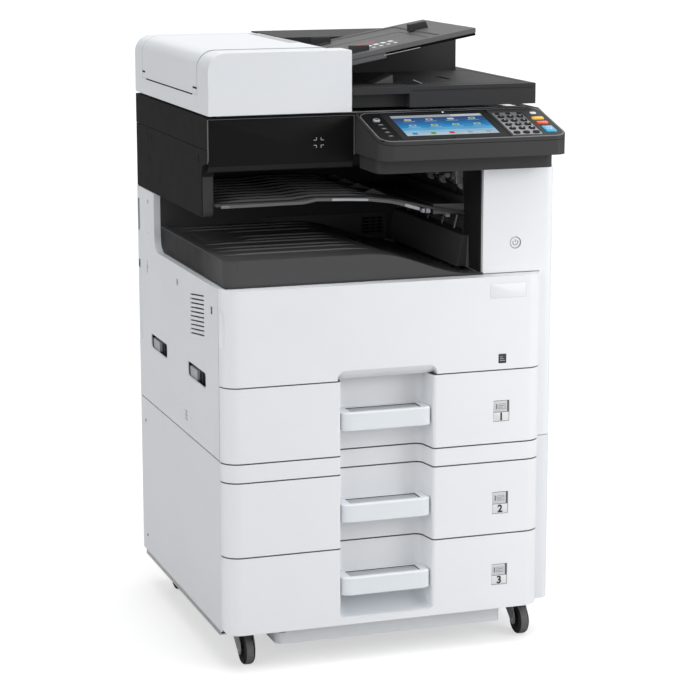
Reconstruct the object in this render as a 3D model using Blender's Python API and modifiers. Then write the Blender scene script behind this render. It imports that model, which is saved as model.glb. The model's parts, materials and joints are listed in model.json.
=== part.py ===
"""Free-standing A3 photocopier: engine with one drawer, a two-drawer feeder cabinet on castors,
a flatbed scanner, a document feeder and a tilted operation panel.

Everything is laid out from the lower left front corner of the body: x to the right, y to the back
from the front edge of the side covers, z up from the floor.  One empty then moves the whole
machine so that the middle of its footprint is at the world origin.
"""
import bmesh
import bpy
from math import cos, pi, radians, sin
from mathutils import Matrix, Vector

# ---- driving dimensions, metres ----------------------------------------------------------------
WIDTH = 0.594                 # over the right-hand doors
FRONT_W = 0.565               # drawer fronts and front cover
BACK = 0.5355                 # outer face of the rear covers
FRONT_Y = -0.030              # flat front face of the drawers
PANEL_FRONT = -0.0775         # front face of the operation panel, the foremost point
CORNER_R = 0.030              # upright corners of the drawer fronts
SKIN = 0.003                  # moulded cover thickness
SHEET = 0.002                 # steel sheet thickness
GAP = 0.0003                  # air between touching pieces
SEAM = 0.001                  # visible gap between the fronts

# heights of the stack of fronts
CABINET_Z0 = 0.068
DRAWER_3 = (CABINET_Z0, 0.2015)
DRAWER_2 = (DRAWER_3[1] + SEAM, 0.3290)
STRIP = (DRAWER_2[1] + SEAM, 0.3610)
DRAWER_1 = (STRIP[1] + SEAM, 0.4885)
FRONT_COVER = (DRAWER_1[1] + SEAM, 0.6486)
COLUMN_TOP = 0.8265           # right column, where the scanner sits
SCANNER_TOP = 0.9210
ADF_Z0 = 0.9245               # underside of the white document feeder box
ADF_TOP = 1.0255

# grip channel down the middle of the fronts
CHANNEL_X = (0.195, 0.3705)   # its front edges
CHANNEL_Y = 0.0165            # its back wall
CHANNEL_EDGE_R = 0.006
CHANNEL_ROOT_R = 0.014
CHANNEL_LEAN = 0.004          # each side wall leans in this much
CHANNEL_FLOOR = 0.080         # its closed lower end, in the bottom drawer
LIP_RISE = 0.0165             # scooped lip over the channel, in the front cover
HANDLE_H = 0.0315
HANDLE_UP = (0.0500, 0.0425, 0.0405)   # handle underside over each drawer's lower edge, 3, 2, 1

# drawers and frames
BODY_L, BODY_R = 0.0155, 0.5615        # steel frame of the engine, left and right faces
TRAY_X = (0.020, 0.462)
TRAY_Y = (0.0215, 0.345)
TRAY_DEEP = 0.092
DRAWER_TRAVEL = 0.34
FRAME_FRONT, FRAME_BACK = 0.0225, 0.528
FEED_X = 0.4695                        # wall between the drawers and the feed path
ENGINE_FLOOR = 0.4895

# mains inlet
INLET_X, INLET_Z = (0.0863, 0.1147), (0.3898, 0.4102)

# castors
WHEEL_R, TREAD_W, TRAIL = 0.025, 0.020, 0.022
CASTOR_X, CASTOR_Y = (0.050, 0.550), (0.047, 0.490)
FRAME_Z0 = 0.056

# output cavity
CAVITY_BACK = 0.415
CAVITY_R = 0.4625
PILLAR_Y = 0.415
TRAY_RIM, TRAY_LOW = 0.6935, 0.6515

# scanner, panel and document feeder
SCAN_Y0, SCAN_R = 0.053, 0.580
ADF_Y = (0.043, 0.534)
ADF_R, PLATEN_R = 0.2448, 0.573
ADF_PIN = (0.534, 0.9235)              # hinge line along the lower rear edge
LID_X = 0.2171
LID_Y = (0.1115, 0.4795)
PANEL_X = (0.2536, 0.5820)
PANEL_SLOPE = 0.27                     # fall of the panel's top per unit of depth
PANEL_NORMAL = Vector((0, -PANEL_SLOPE, 1)).normalized()
PANEL_BOTTOM, PANEL_BASE = 0.855, 0.8300
DOOR_X0, DOOR_Y0, DOOR_PIN = FRONT_W + 0.0015, 0.0455, (0.585, 0.522)
SIDE_R = 0.016                         # upright front corner of the right-hand side
THROUGH_BACK = (BACK - 0.1, BACK + 0.1)

# keys of the operation panel, centre then size
GLASS_X, GLASS_Y = (0.2570, 0.4818), (-0.0700, 0.0490)
MAT_X, MAT_Y = (0.4885, 0.5425), (-0.0640, 0.0360)
HOME_KEY, HOME_SIZE = (0.2785, 0.0174), 0.0120
COLOUR_KEYS = (("start_key", (0.5590, -0.0470), (0.0190, 0.0250), "green_key"),
               ("stop_key", (0.5590, -0.0185), (0.0200, 0.0095), "orange_key"),
               ("reset_key", (0.5590, 0.0015), (0.0210, 0.0095), "yellow_key"))
NUMBER_COLUMNS = (0.4980, 0.5150, 0.5325)
NUMBER_ROWS = (0.0285, 0.0147, -0.0025, -0.0195, -0.0367, -0.0550)
STUD = (0.0105, 0.0075)
KEY_CLEAR = 0.00045                    # air round each key

# original tray of the document feeder
ORIGINAL_RISE = 0.182                  # climb per unit of width
ORIGINAL_TIP = (0.480, 1.0546)         # its outer top edge
ORIGINAL_START = 0.2475

# round pieces: centre and radius
BUTTON, BUTTON_R = (0.5216, 0.6995), 0.0095
EJECT_AXIS, EJECT_ROLLS = (0.4705, 0.785), (0.116, 0.205, 0.264, 0.353)
FUSER_AXIS, FUSER_R = (0.525, 0.700), 0.015

SHELL = "photocopier"


# ---- helpers -----------------------------------------------------------------------------------
def clear_scene():
    for thing in list(bpy.data.objects):
        bpy.data.objects.remove(thing, do_unlink=True)


def new_collection(name):
    group = bpy.data.collections.new(name)
    bpy.context.scene.collection.children.link(group)
    return group


clear_scene()
PARTS = new_collection(SHELL)
CUTTERS = new_collection("cutters")
ORIGIN = bpy.data.objects.new("machine_origin", None)
ORIGIN.location = (-WIDTH / 2, -(PANEL_FRONT + BACK) / 2, 0)
PARTS.objects.link(ORIGIN)

FINISHES = {
    "white_cover": ((0.80, 0.82, 0.84), 0.42, 0.0),
    "grey_cover": ((0.55, 0.57, 0.60), 0.45, 0.0),
    "black_cover": ((0.045, 0.046, 0.048), 0.45, 0.0),
    "black_gloss": ((0.010, 0.010, 0.012), 0.10, 0.0),
    "steel": ((0.60, 0.61, 0.62), 0.35, 1.0),
    "glass": ((0.70, 0.80, 0.80), 0.05, 0.0),
    "tyre": ((0.09, 0.09, 0.09), 0.70, 0.0),
    "rubber": ((0.30, 0.30, 0.31), 0.60, 0.0),
    "green_key": ((0.02, 0.45, 0.60), 0.30, 0.0),
    "orange_key": ((0.80, 0.16, 0.03), 0.30, 0.0),
    "yellow_key": ((0.85, 0.62, 0.02), 0.30, 0.0),
    "silver_key": ((0.70, 0.71, 0.72), 0.30, 0.4),
}


def material(finish):
    """One Principled material for each finish, made the first time it is asked for."""
    found = bpy.data.materials.get(finish)
    if found:
        return found
    color, roughness, metallic = FINISHES[finish]
    made = bpy.data.materials.new(finish)
    made.use_nodes = True
    shader = made.node_tree.nodes["Principled BSDF"]
    shader.inputs["Base Color"].default_value = (*color, 1)
    shader.inputs["Roughness"].default_value = roughness
    shader.inputs["Metallic"].default_value = metallic
    made.diffuse_color = (*color, 1)
    return made


def to_object(name, bm, origin, finish):
    """Turn a bmesh in machine coordinates into an object whose origin is where it moves about."""
    bmesh.ops.translate(bm, vec=-Vector(origin), verts=bm.verts)
    bmesh.ops.recalc_face_normals(bm, faces=bm.faces)
    mesh = bpy.data.meshes.new(name)
    bm.to_mesh(mesh)
    bm.free()
    thing = bpy.data.objects.new(name, mesh)
    thing.location = origin
    thing.parent = ORIGIN
    if finish is None:
        CUTTERS.objects.link(thing)
        thing.hide_render = True
        thing.display_type = "WIRE"
    else:
        PARTS.objects.link(thing)
        mesh.materials.append(material(finish))
    return thing


def box_mesh(x, y, z):
    bm = bmesh.new()
    bmesh.ops.create_cube(bm, size=1.0)
    bmesh.ops.scale(bm, vec=(x[1] - x[0], y[1] - y[0], z[1] - z[0]), verts=bm.verts)
    middle = Vector(((x[0] + x[1]) / 2, (y[0] + y[1]) / 2, (z[0] + z[1]) / 2))
    bmesh.ops.translate(bm, vec=middle, verts=bm.verts)
    return bm


def box(name, x, y, z, finish, origin=(0, 0, 0)):
    """A block between two bounds on each axis."""
    return to_object(name, box_mesh(x, y, z), origin, finish)


def prism_mesh(outline, span, axis):
    """Extrude a flat outline along an axis. Its two coordinates are the other axes, in order."""
    places = {"x": lambda a, b, t: (t, a, b), "y": lambda a, b, t: (a, t, b),
              "z": lambda a, b, t: (a, b, t)}[axis]
    bm = bmesh.new()
    face = bm.faces.new([bm.verts.new(places(a, b, span[0])) for a, b in outline])
    raised = bmesh.ops.extrude_face_region(bm, geom=[face])
    risen = [item for item in raised["geom"] if isinstance(item, bmesh.types.BMVert)]
    bmesh.ops.translate(bm, vec=places(0, 0, span[1] - span[0]), verts=risen)
    return bm


def prism(name, outline, span, axis, finish, origin=(0, 0, 0)):
    return to_object(name, prism_mesh(outline, span, axis), origin, finish)


def rod_mesh(start, end, radius, sides=16):
    """A round bar between two points."""
    start, end = Vector(start), Vector(end)
    bm = bmesh.new()
    bmesh.ops.create_cone(bm, cap_ends=True, segments=sides, radius1=radius, radius2=radius,
                          depth=(end - start).length)
    turn = Vector((0, 0, 1)).rotation_difference(end - start).to_matrix().to_4x4()
    bmesh.ops.transform(bm, matrix=Matrix.Translation((start + end) / 2) @ turn, verts=bm.verts)
    return bm


def rod(name, start, end, radius, finish, origin=(0, 0, 0), sides=16):
    return to_object(name, rod_mesh(start, end, radius, sides), origin, finish)


def arc(centre, radius, first, last, steps):
    """Points along an arc, angles in degrees, both ends included."""
    angles = [radians(first + (last - first) * i / steps) for i in range(steps + 1)]
    return [(centre[0] + radius * cos(a), centre[1] + radius * sin(a)) for a in angles]


def rounded_rect(x, y, radii, steps=4):
    """Outline with a radius for each corner: low-low, high-low, high-high, low-high."""
    corners = ((x[0], y[0], 1, 1, 180), (x[1], y[0], -1, 1, 270),
               (x[1], y[1], -1, -1, 0), (x[0], y[1], 1, -1, 90))
    points = []
    for (cx, cy, sx, sy, first), radius in zip(corners, radii):
        if radius == 0:
            points.append((cx, cy))
        else:
            points += arc((cx + sx * radius, cy + sy * radius), radius, first, first + 90, steps)
    return points


def combine(target, others, operation):
    for number, other in enumerate(others):
        step = target.modifiers.new(f"{operation.lower()}_{number}", "BOOLEAN")
        step.operation = operation
        step.solver = "EXACT"
        step.object = other
    return target


def cut(target, *cutters):
    return combine(target, cutters, "DIFFERENCE")


def join(target, *others):
    return combine(target, others, "UNION")


def cut_box(target, *bounds):
    """Remove blocks, each given by its three bounds."""
    cutters = [box(f"{target.name}_cut_{i}", *block, None) for i, block in enumerate(bounds)]
    return combine(target, cutters, "DIFFERENCE")


# ---- fronts: one profile shared by the drawers, the strip and the front cover --------------------
def channel_side(mirror):
    """Plan curve of one side of the grip channel, from the front face in to the back wall.

    mirror is 1 for the left side and -1 for the right side.
    """
    edge = CHANNEL_X[0] if mirror == 1 else CHANNEL_X[1]
    lip_y = FRONT_Y + CHANNEL_EDGE_R
    root_y = CHANNEL_Y - CHANNEL_ROOT_R
    lip = arc((0, lip_y), CHANNEL_EDGE_R, -90, -8, 3)
    start = CHANNEL_EDGE_R + CHANNEL_LEAN + CHANNEL_ROOT_R
    root = arc((start, root_y), CHANNEL_ROOT_R, 180, 90, 4)
    return [(edge + mirror * a, b) for a, b in lip + root]


def front_outline(back_y=-0.002):
    """Plan outline of a front, grip channel included."""
    left = arc((CORNER_R, 0), CORNER_R, 180, 270, 6)
    left[0] = (0, back_y)
    right = arc((FRONT_W - CORNER_R, 0), CORNER_R, 270, 360, 6)
    right[-1] = (FRONT_W, back_y)
    behind = CHANNEL_Y + SKIN
    wall_l, wall_r = CHANNEL_X[0] - SKIN, CHANNEL_X[1] + SKIN
    back = [(wall_r, back_y), (wall_r, behind), (wall_l, behind), (wall_l, back_y)]
    return left + channel_side(1) + channel_side(-1)[::-1] + right + back


def front_pockets(name, z):
    """The two hollows behind a front, either side of the channel, open at the back."""
    inside = CORNER_R - SKIN
    high = (z[0] + SKIN, z[1] - SKIN)
    face = FRONT_Y + SKIN
    left = arc((CORNER_R, 0), inside, 180, 270, 4)
    left += [(CHANNEL_X[0] - SKIN, face), (CHANNEL_X[0] - SKIN, 0.01), (SKIN, 0.01)]
    right = arc((FRONT_W - CORNER_R, 0), inside, 270, 360, 4)
    right += [(FRONT_W - SKIN, 0.01), (CHANNEL_X[1] + SKIN, 0.01), (CHANNEL_X[1] + SKIN, face)]
    return [prism(f"{name}_hollow_left", left, high, "z", None),
            prism(f"{name}_hollow_right", right, high, "z", None)]


def drawer_front(number, z):
    """A drawer front; the bottom one closes the lower end of the grip channel."""
    name = f"drawer_{number}_front"
    front = prism(name, front_outline(), z, "z", "white_cover")
    cut(front, *front_pockets(name, z))
    if number == 3:
        sill = prism("channel_sill", rounded_rect((CHANNEL_X[0] - 0.001, CHANNEL_X[1] + 0.001),
                                                  (z[0], CHANNEL_FLOOR), (0, 0, 0, 0)),
                     (FRONT_Y, CHANNEL_Y + 0.001), "y", None)
        join(front, sill)
    return front


def front_strip():
    return prism("feeder_front_strip", front_outline(), STRIP, "z", "white_cover")


def front_cover():
    """Bottom-hinged cover over the toner, scooped where it meets the grip channel."""
    z = FRONT_COVER
    left = arc((CORNER_R, 0), CORNER_R, 180, 270, 6)
    left[0] = (0, -0.002)
    right = arc((FRONT_W - CORNER_R, 0), CORNER_R, 270, 360, 6)
    right[-1] = (FRONT_W, -0.002)
    pin = (FRONT_W / 2, FRONT_Y + 0.0015, z[0] + 0.0017)     # just inside its lower front edge
    cover = prism("front_cover", left + right, z, "z", "white_cover", pin)
    inside = arc((CORNER_R, 0), CORNER_R - SKIN, 180, 270, 4)
    inside += arc((FRONT_W - CORNER_R, 0), CORNER_R - SKIN, 270, 360, 4)
    inside = [(SKIN, 0.01)] + inside + [(FRONT_W - SKIN, 0.01)]
    hollow = prism("front_cover_hollow", inside, (z[0] + LIP_RISE + SKIN, z[1] - SKIN), "z", None)
    ramp = [(FRONT_Y - 0.001, z[0] - 0.001), (FRONT_Y - 0.001, z[0] + LIP_RISE),
            (FRONT_Y, z[0] + LIP_RISE), (FRONT_Y + 0.008, z[0] + 0.0055),
            (FRONT_Y + 0.017, z[0] - 0.001)]
    scoop = prism("front_cover_scoop", ramp, CHANNEL_X, "x", None)
    return cut(cover, hollow, scoop)


def drawer_handle(number, z, up):
    """Grip bar across the channel with a finger well in its top."""
    name = f"drawer_{number}_handle"
    side = CHANNEL_EDGE_R + CHANNEL_LEAN + GAP
    x = (CHANNEL_X[0] + side, CHANNEL_X[1] - side)
    low = z[0] + up
    ends = 0.016
    outline = [(x[0], CHANNEL_Y - CHANNEL_ROOT_R)] + [(x[0], FRONT_Y + 0.010)]
    outline += [(x[0] + ends * 0.35, FRONT_Y + 0.0045), (x[0] + ends, FRONT_Y + 0.001)]
    outline += [(x[0] + 2 * ends, FRONT_Y)]
    mirror = [(x[0] + x[1] - a, b) for a, b in outline][::-1]
    back = CHANNEL_Y - GAP
    root = CHANNEL_ROOT_R
    ring = outline + mirror + [(x[1] - root, back), (x[0] + root, back)]
    handle = prism(name, ring, (low, low + HANDLE_H), "z", "white_cover")
    well = (x[0] + 0.014, x[1] - 0.014)
    hook = (x[0] + 0.010, x[1] - 0.010)
    return cut_box(handle, (well, (FRONT_Y + 0.008, CHANNEL_Y - 0.007), (low + 0.022, low + 0.1)),
                   (hook, (FRONT_Y + 0.006, CHANNEL_Y + 0.01), (low - 0.01, low + 0.018)))


def drawer_tray(number, z):
    """Open paper cassette behind a front."""
    base = z[0] + 0.007
    tray = box(f"drawer_{number}_tray", TRAY_X, TRAY_Y, (base, base + TRAY_DEEP), "grey_cover")
    inner_x = (TRAY_X[0] + SHEET, TRAY_X[1] - SHEET)
    inner_y = (TRAY_Y[0] + SHEET, TRAY_Y[1] - SHEET)
    return cut_box(tray, (inner_x, inner_y, (base + SHEET, base + 0.2)))


def paper_plate(number, z):
    """Lift plate that raises the paper's leading edge to the feed roller."""
    floor = z[0] + 0.007 + SHEET + 0.001
    pivot = 0.205
    plate = (pivot, TRAY_X[1] - SHEET - 0.004)
    wide = (TRAY_Y[0] + 0.024, TRAY_Y[1] - 0.024)
    return box(f"paper_plate_{number}", plate, wide, (floor, floor + SHEET), "steel",
               (pivot + 0.001, (wide[0] + wide[1]) / 2, floor + SHEET / 2))


def drawers():
    for number, z, up in ((3, DRAWER_3, HANDLE_UP[0]), (2, DRAWER_2, HANDLE_UP[1]),
                          (1, DRAWER_1, HANDLE_UP[2])):
        drawer_front(number, z)
        drawer_handle(number, z, up)
        drawer_tray(number, z)
        paper_plate(number, z)


# ---- feeder cabinet ------------------------------------------------------------------------------
def feeder_frame():
    """Folded steel box with a shelf between its drawers and a feed path down its right side."""
    left, right = SKIN + GAP, BODY_R
    top = STRIP[1] - GAP
    frame = box("feeder_frame", (left, right), (FRAME_FRONT, FRAME_BACK), (FRAME_Z0, top), "steel")
    bay_x = (left + SHEET, FEED_X - SHEET / 2)
    bay_y = (-0.1, FRAME_BACK - SHEET)
    shelf = DRAWER_2[0] - 0.001
    return cut_box(frame, (bay_x, bay_y, (FRAME_Z0 + SHEET, shelf - SHEET)),
                   (bay_x, bay_y, (shelf, top - SHEET)),
                   ((FEED_X + SHEET / 2, 0.7), (0.05, 0.50), (FRAME_Z0 + SHEET, top - SHEET)))


def feeder_covers():
    top = STRIP[1] - GAP
    box("feeder_left_cover", (0, SKIN), (GAP, BACK), (CABINET_Z0, top), "white_cover")
    box("feeder_rear_cover", (SKIN + GAP, BODY_R), (BACK - SKIN, BACK), (CABINET_Z0, top), "white_cover")
    outline = rounded_rect((DOOR_X0, WIDTH), (0, BACK - SKIN), (0, SIDE_R, 0.006, 0))
    door = prism("feeder_right_cover", outline, (CABINET_Z0, top), "z", "white_cover",
                 (*DOOR_PIN, CABINET_Z0))
    inner = rounded_rect((FRONT_W - 0.02, WIDTH - SKIN), (SKIN, DOOR_PIN[1] - 0.012),
                         (0, SIDE_R - SKIN, 0, 0))
    cut(door, prism("feeder_door_hollow", inner, (CABINET_Z0 + SKIN, top - SKIN), "z", None))


def feeder_plinth():
    """Shallow anti-tip base between the castors, with a lip up to the bottom drawer."""
    x = (0.097, 0.503)
    plinth = box("feeder_plinth", x, (0.004, 0.500), (0.034, CABINET_Z0 - GAP), "white_cover")
    return cut_box(plinth, ((0, 0.6), (FRAME_FRONT - GAP, 0.6), (FRAME_Z0 - GAP, 0.1)),
                   ((x[0] + SKIN, x[1] - SKIN), (0.004 + SKIN, 0.497), (0.02, 0.034 + 0.018)))


def castor(tag, x, y):
    """Swivel fork and wheel; the wheel trails forward of the swivel."""
    hub_y = y - TRAIL
    plate_z = FRAME_Z0 - GAP
    plate = rod_mesh((x, y, plate_z - 0.004), (x, y, plate_z), 0.020, 20)
    fork = to_object(f"castor_fork_{tag}", plate, (x, y, plate_z), "steel")
    cheek = [(hub_y - 0.006, WHEEL_R), (hub_y, WHEEL_R - 0.007), (hub_y + 0.007, WHEEL_R - 0.003),
             (y + 0.014, plate_z - 0.003), (y - 0.016, plate_z - 0.003)]
    half = TREAD_W / 2 + 0.0015
    sides = [prism(f"castor_cheek_{tag}_{i}", cheek, span, "x", None)
             for i, span in enumerate(((x - half - SHEET, x - half), (x + half, x + half + SHEET)))]
    bridge = box(f"castor_bridge_{tag}", (x - half - SHEET, x + half + SHEET),
                 (y - 0.015, y + 0.013), (plate_z - 0.0035, plate_z - 0.0015), None)
    join(fork, *sides, bridge)
    rim = rod_mesh((x - TREAD_W / 2, hub_y, WHEEL_R), (x + TREAD_W / 2, hub_y, WHEEL_R), WHEEL_R, 32)
    wheel = to_object(f"castor_wheel_{tag}", rim, (x, hub_y, WHEEL_R), "tyre")
    crown = wheel.modifiers.new("crown", "BEVEL")
    crown.width = 0.004
    crown.segments = 2
    crown.limit_method = "ANGLE"
    crown.angle_limit = radians(60)


def castors():
    for tag_y, y in zip("fr", CASTOR_Y):
        for tag_x, x in zip("lr", CASTOR_X):
            castor(tag_y + tag_x, x, y)


# ---- engine --------------------------------------------------------------------------------------
def main_frame():
    """Sheet steel body: drawer bay, engine bay, feed path, right tower and rear tower."""
    z0, deck, top = DRAWER_1[0] + GAP, 0.644, COLUMN_TOP - 0.001
    y = (FRAME_FRONT, FRAME_BACK)
    frame = box("main_frame", (BODY_L, BODY_R), y, (z0, deck), "steel")
    tower = box("tower_right", (0.480, BODY_R), (0.0870, y[1]), (deck - 0.001, top), None)
    rear = box("tower_rear", (BODY_L, 0.481), (CAVITY_BACK + SKIN + 0.0005, y[1]),
               (deck - 0.001, top), None)
    join(frame, tower, rear)
    left, right = BODY_L + SHEET, BODY_R - SHEET
    bay = (z0 + SHEET, ENGINE_FLOOR - SHEET)
    engine = (ENGINE_FLOOR, deck - SHEET)
    hollows = (
        ((left, FEED_X - SHEET / 2), (-0.1, 0.360), bay),
        ((left, FEED_X - SHEET / 2), (0.362, 0.7), bay),
        ((FEED_X + SHEET / 2, 0.7), (0.05, 0.50), bay),
        ((left, right), (-0.1, 0.500), engine),
        ((0.50, 0.7), (0.05, 0.50), engine),
        ((left, right), (0.502, 0.7), (z0 + SHEET, deck - SHEET)),
        ((0.482, 0.7), (0.089, y[1] - SHEET), (deck + SHEET, top - SHEET)),
        ((left, 0.478), (CAVITY_BACK + 2 * SKIN, 0.7), (deck + SHEET, top - SHEET)),
    )
    return cut_box(frame, *hollows)


def left_cover_outline(inset=0.0):
    """Side view of the left cover: low front part, swept up to the rear pillar."""
    z0, low, high = DRAWER_1[0] + inset, FRONT_COVER[1] - inset, 0.753 - inset
    sweep = 0.025
    front = PILLAR_Y + inset
    points = [(GAP + inset, z0), (BACK - inset, z0), (BACK - inset, high), (front, high)]
    points += arc((front - sweep, low + sweep), sweep, 0, -90, 6)
    return points + [(GAP + inset, low)]


def main_left_cover():
    """Left cover with two carrying grips and a slanted vent, open on its inner side."""
    deep = 0.012
    cover = prism("main_left_cover", left_cover_outline(), (0, deep), "x", "white_cover")
    hollow = prism("left_cover_hollow", left_cover_outline(SKIN), (SKIN, 0.05), "x", None)
    cut(cover, hollow)
    grips = [((-0.05, 0.05), y, (0.4665, 0.4945)) for y in ((0.0797, 0.1968), (0.3355, 0.4522))]
    cut_box(cover, *grips)
    slats = []
    for i in range(10):
        bm = box_mesh((-0.05, 0.05), (0.085, 0.173), (-0.0013, 0.0013))
        turn = Matrix.Rotation(radians(-7), 4, "X")
        middle = Vector((0, 0.129, 0))
        lift = Vector((0, 0.129, 0.5515 + 0.0074 * i))
        place = Matrix.Translation(lift) @ turn @ Matrix.Translation(-middle)
        bmesh.ops.transform(bm, matrix=place, verts=bm.verts)
        slats.append(to_object(f"left_vent_{i}", bm, (0, 0, 0), None))
    return cut(cover, *slats)


def main_rear_cover():
    """Rear cover with an opening for the mains inlet and a row of vent slots."""
    cover = box("main_rear_cover", (0.0125, BODY_R), (BACK - SKIN, BACK),
                (DRAWER_1[0], COLUMN_TOP - 0.001), "white_cover")
    inlet = ((INLET_X[0] - GAP, INLET_X[1] + GAP), THROUGH_BACK,
             (INLET_Z[0] - GAP, INLET_Z[1] + GAP))
    slots = [((0.30, 0.46), THROUGH_BACK, (0.560 + 0.012 * i, 0.564 + 0.012 * i)) for i in range(8)]
    return cut_box(cover, inlet, *slots)


def power_inlet():
    """Mains inlet: a framed socket with its well facing the back."""
    wall = 0.0025
    inlet = box("power_inlet", INLET_X, (0.512, BACK - GAP), INLET_Z, "black_cover")
    cut_box(inlet, ((INLET_X[0] + wall, INLET_X[1] - wall), (0.519, 0.6),
                    (INLET_Z[0] + wall, INLET_Z[1] - wall)))
    pins = [box(f"inlet_pin_{i}", (x, x + 0.002), (0.515, 0.531), (0.398 + lift, 0.402 + lift), None)
            for i, (x, lift) in enumerate(((0.0925, 0), (0.1065, 0), (0.0995, 0.004)))]
    return join(inlet, *pins)


def right_column():
    """White column with the power button, and the strip that carries on down beside the drawers."""
    z = (FRONT_COVER[1] + 0.0006, COLUMN_TOP)

    def plan(left, inset, back):
        return rounded_rect((left + inset, WIDTH - inset), (inset, back), (0, SIDE_R - inset, 0, 0))

    column = prism("right_column", plan(CAVITY_R, 0, DOOR_Y0 - SEAM), z, "z", "white_cover")
    strip = plan(DOOR_X0, 0, DOOR_Y0 - SEAM)
    join(column, prism("column_strip", strip, (DRAWER_1[0], z[0] + 0.001), "z", None),
         box("column_cheek", (CAVITY_R, 0.4785), (0.03, 0.0865), z, None))
    low = (DRAWER_1[0] + SKIN, z[0] + SKIN + 0.001)
    inside = plan(CAVITY_R, SKIN, 0.2)
    return cut(column, prism("column_hollow", inside, (z[0] + SKIN, z[1] - SKIN), "z", None),
               prism("strip_hollow", plan(DOOR_X0, SKIN, 0.2), low, "z", None),
               rod("button_hole", (BUTTON[0], -0.01, BUTTON[1]), (BUTTON[0], 0.01, BUTTON[1]),
                   BUTTON_R + GAP, None, sides=24))


def power_button():
    face = (BUTTON[0], 0.0005, BUTTON[1])
    rod("power_button", face, (BUTTON[0], 0.009, BUTTON[1]), BUTTON_R, "white_cover", face, 24)


def right_cover():
    """Right-hand jam door, hung on an upright pin at the back, with a bay for the bypass tray."""
    z = (DRAWER_1[0], COLUMN_TOP)
    plan = rounded_rect((DOOR_X0, WIDTH), (DOOR_Y0, BACK - SKIN), (0, 0, 0.006, 0))
    door = prism("right_cover", plan, z, "z", "white_cover", (*DOOR_PIN, z[0]))
    hollow_y = (DOOR_Y0 + SKIN, DOOR_PIN[1] - 0.012)
    return cut_box(door, ((FRONT_W - 0.02, 0.578), hollow_y, (z[0] + SKIN, z[1] - SKIN)),
                   ((0.5815, 0.7), (0.128, 0.462), (0.398, 0.6225)))


def bypass_tray():
    """Fold-down tray for single sheets, closed flush into the right-hand door."""
    tray = box("bypass_tray", (0.5835, WIDTH - GAP), (0.1295, 0.4605), (0.401, 0.621), "white_cover",
               (0.589, 0.295, 0.406))
    return cut_box(tray, ((0.570, 0.5905), (0.1325, 0.4575), (0.412, 0.609)))


def output_tray_curve(x0, x1, drop):
    """Side view of the tray: level on the left, easing down towards the exit on the right."""
    start, stop, steps = 0.262, 0.445, 10
    points = [(x0, TRAY_RIM - drop)]
    for i in range(steps + 1):
        share = i / steps
        height = TRAY_LOW + (TRAY_RIM - TRAY_LOW) * (1 + cos(pi * share)) / 2
        points.append((start + (stop - start) * share, height - drop))
    return points + [(x1, TRAY_LOW - drop)]


def output_tray():
    """Black paper tray: a hollow moulding whose top follows the curve, with a shallow bed."""
    x, y = (0.0125, CAVITY_R - 0.0004), (-0.0035, CAVITY_BACK - GAP)
    z0 = FRONT_COVER[1] + 0.0010
    corner = 0.020
    plan = rounded_rect(x, y, (corner, 0, 0, 0), 5)
    tray = prism("output_tray", plan, (z0, 0.71), "z", "black_cover")

    def above(name, span_x, span_y, drop):
        curve = output_tray_curve(span_x[0], span_x[1], drop)
        return prism(name, curve + [(span_x[1], 0.8), (span_x[0], 0.8)], span_y, "y", None)

    def hollow(name, left, front):
        under = output_tray_curve(left, 0.420, 0.0075) + [(0.420, 0.6), (left, 0.6)]
        return prism(name, under, (front, y[1] - SKIN), "y", None)

    whole, bed = (x[0] - 0.01, x[1] + 0.01), (x[0] + 0.010, x[1] + 0.01)
    return cut(tray, above("tray_top", whole, (y[0] - 0.01, y[1] + 0.01), 0),
               above("tray_bed", bed, (y[0] + 0.012, y[1] + 0.01), 0.0025),
               hollow("tray_hollow_left", x[0] + SKIN, y[0] + corner),
               hollow("tray_hollow_front", x[0] + corner, y[0] + SKIN))


def cavity_wall():
    wall = box("cavity_wall", (0.0135, CAVITY_R), (CAVITY_BACK, CAVITY_BACK + SKIN),
               (0.6495, COLUMN_TOP - 0.001), "black_cover")
    slots = [((0.300, 0.350), (0.40, 0.43), (0.676 + 0.0065 * i, 0.6795 + 0.0065 * i)) for i in range(6)]
    return cut_box(wall, *slots)


def separator_tray():
    """Thin upper tray of the job separator, humped in the middle and sinking to its exit."""
    x = (0.0215, 0.4615)
    top = [(x[0], 0.7760), (0.155, 0.7760), (0.192, 0.7800), (0.285, 0.7775), (0.340, 0.7700),
           (0.400, 0.7560), (x[1], 0.7440)]
    outline = top + [(a, b - 0.005) for a, b in top[::-1]]
    return prism("separator_tray", outline, (0.080, 0.4125), "y", "black_cover")


def eject_housing():
    """Right wall of the output cavity with one exit slot for each tray."""
    x, y = (CAVITY_R + 0.0005, 0.4795), (0.0870, CAVITY_BACK - GAP)
    wall = box("eject_housing", x, y, (0.6495, COLUMN_TOP - 0.001), "black_cover")
    slots = [((x[0] - 0.01, x[1] + 0.01), (y[0] + 0.008, y[1] - 0.008), z)
             for z in ((0.706, 0.721), (0.768, 0.802))]
    return cut_box(wall, *slots)


def eject_rollers():
    """Shaft with four rubber rollers in the upper exit."""
    x, z = EJECT_AXIS
    shaft = rod("eject_rollers", (x, 0.0960, z), (x, 0.4060, z), 0.003, "rubber", (x, 0.25, z), 12)
    rolls = [rod(f"eject_roll_{i}", (x, y - 0.006, z), (x, y + 0.006, z), 0.0075, None, sides=20)
             for i, y in enumerate(EJECT_ROLLS)]
    return join(shaft, *rolls)


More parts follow.
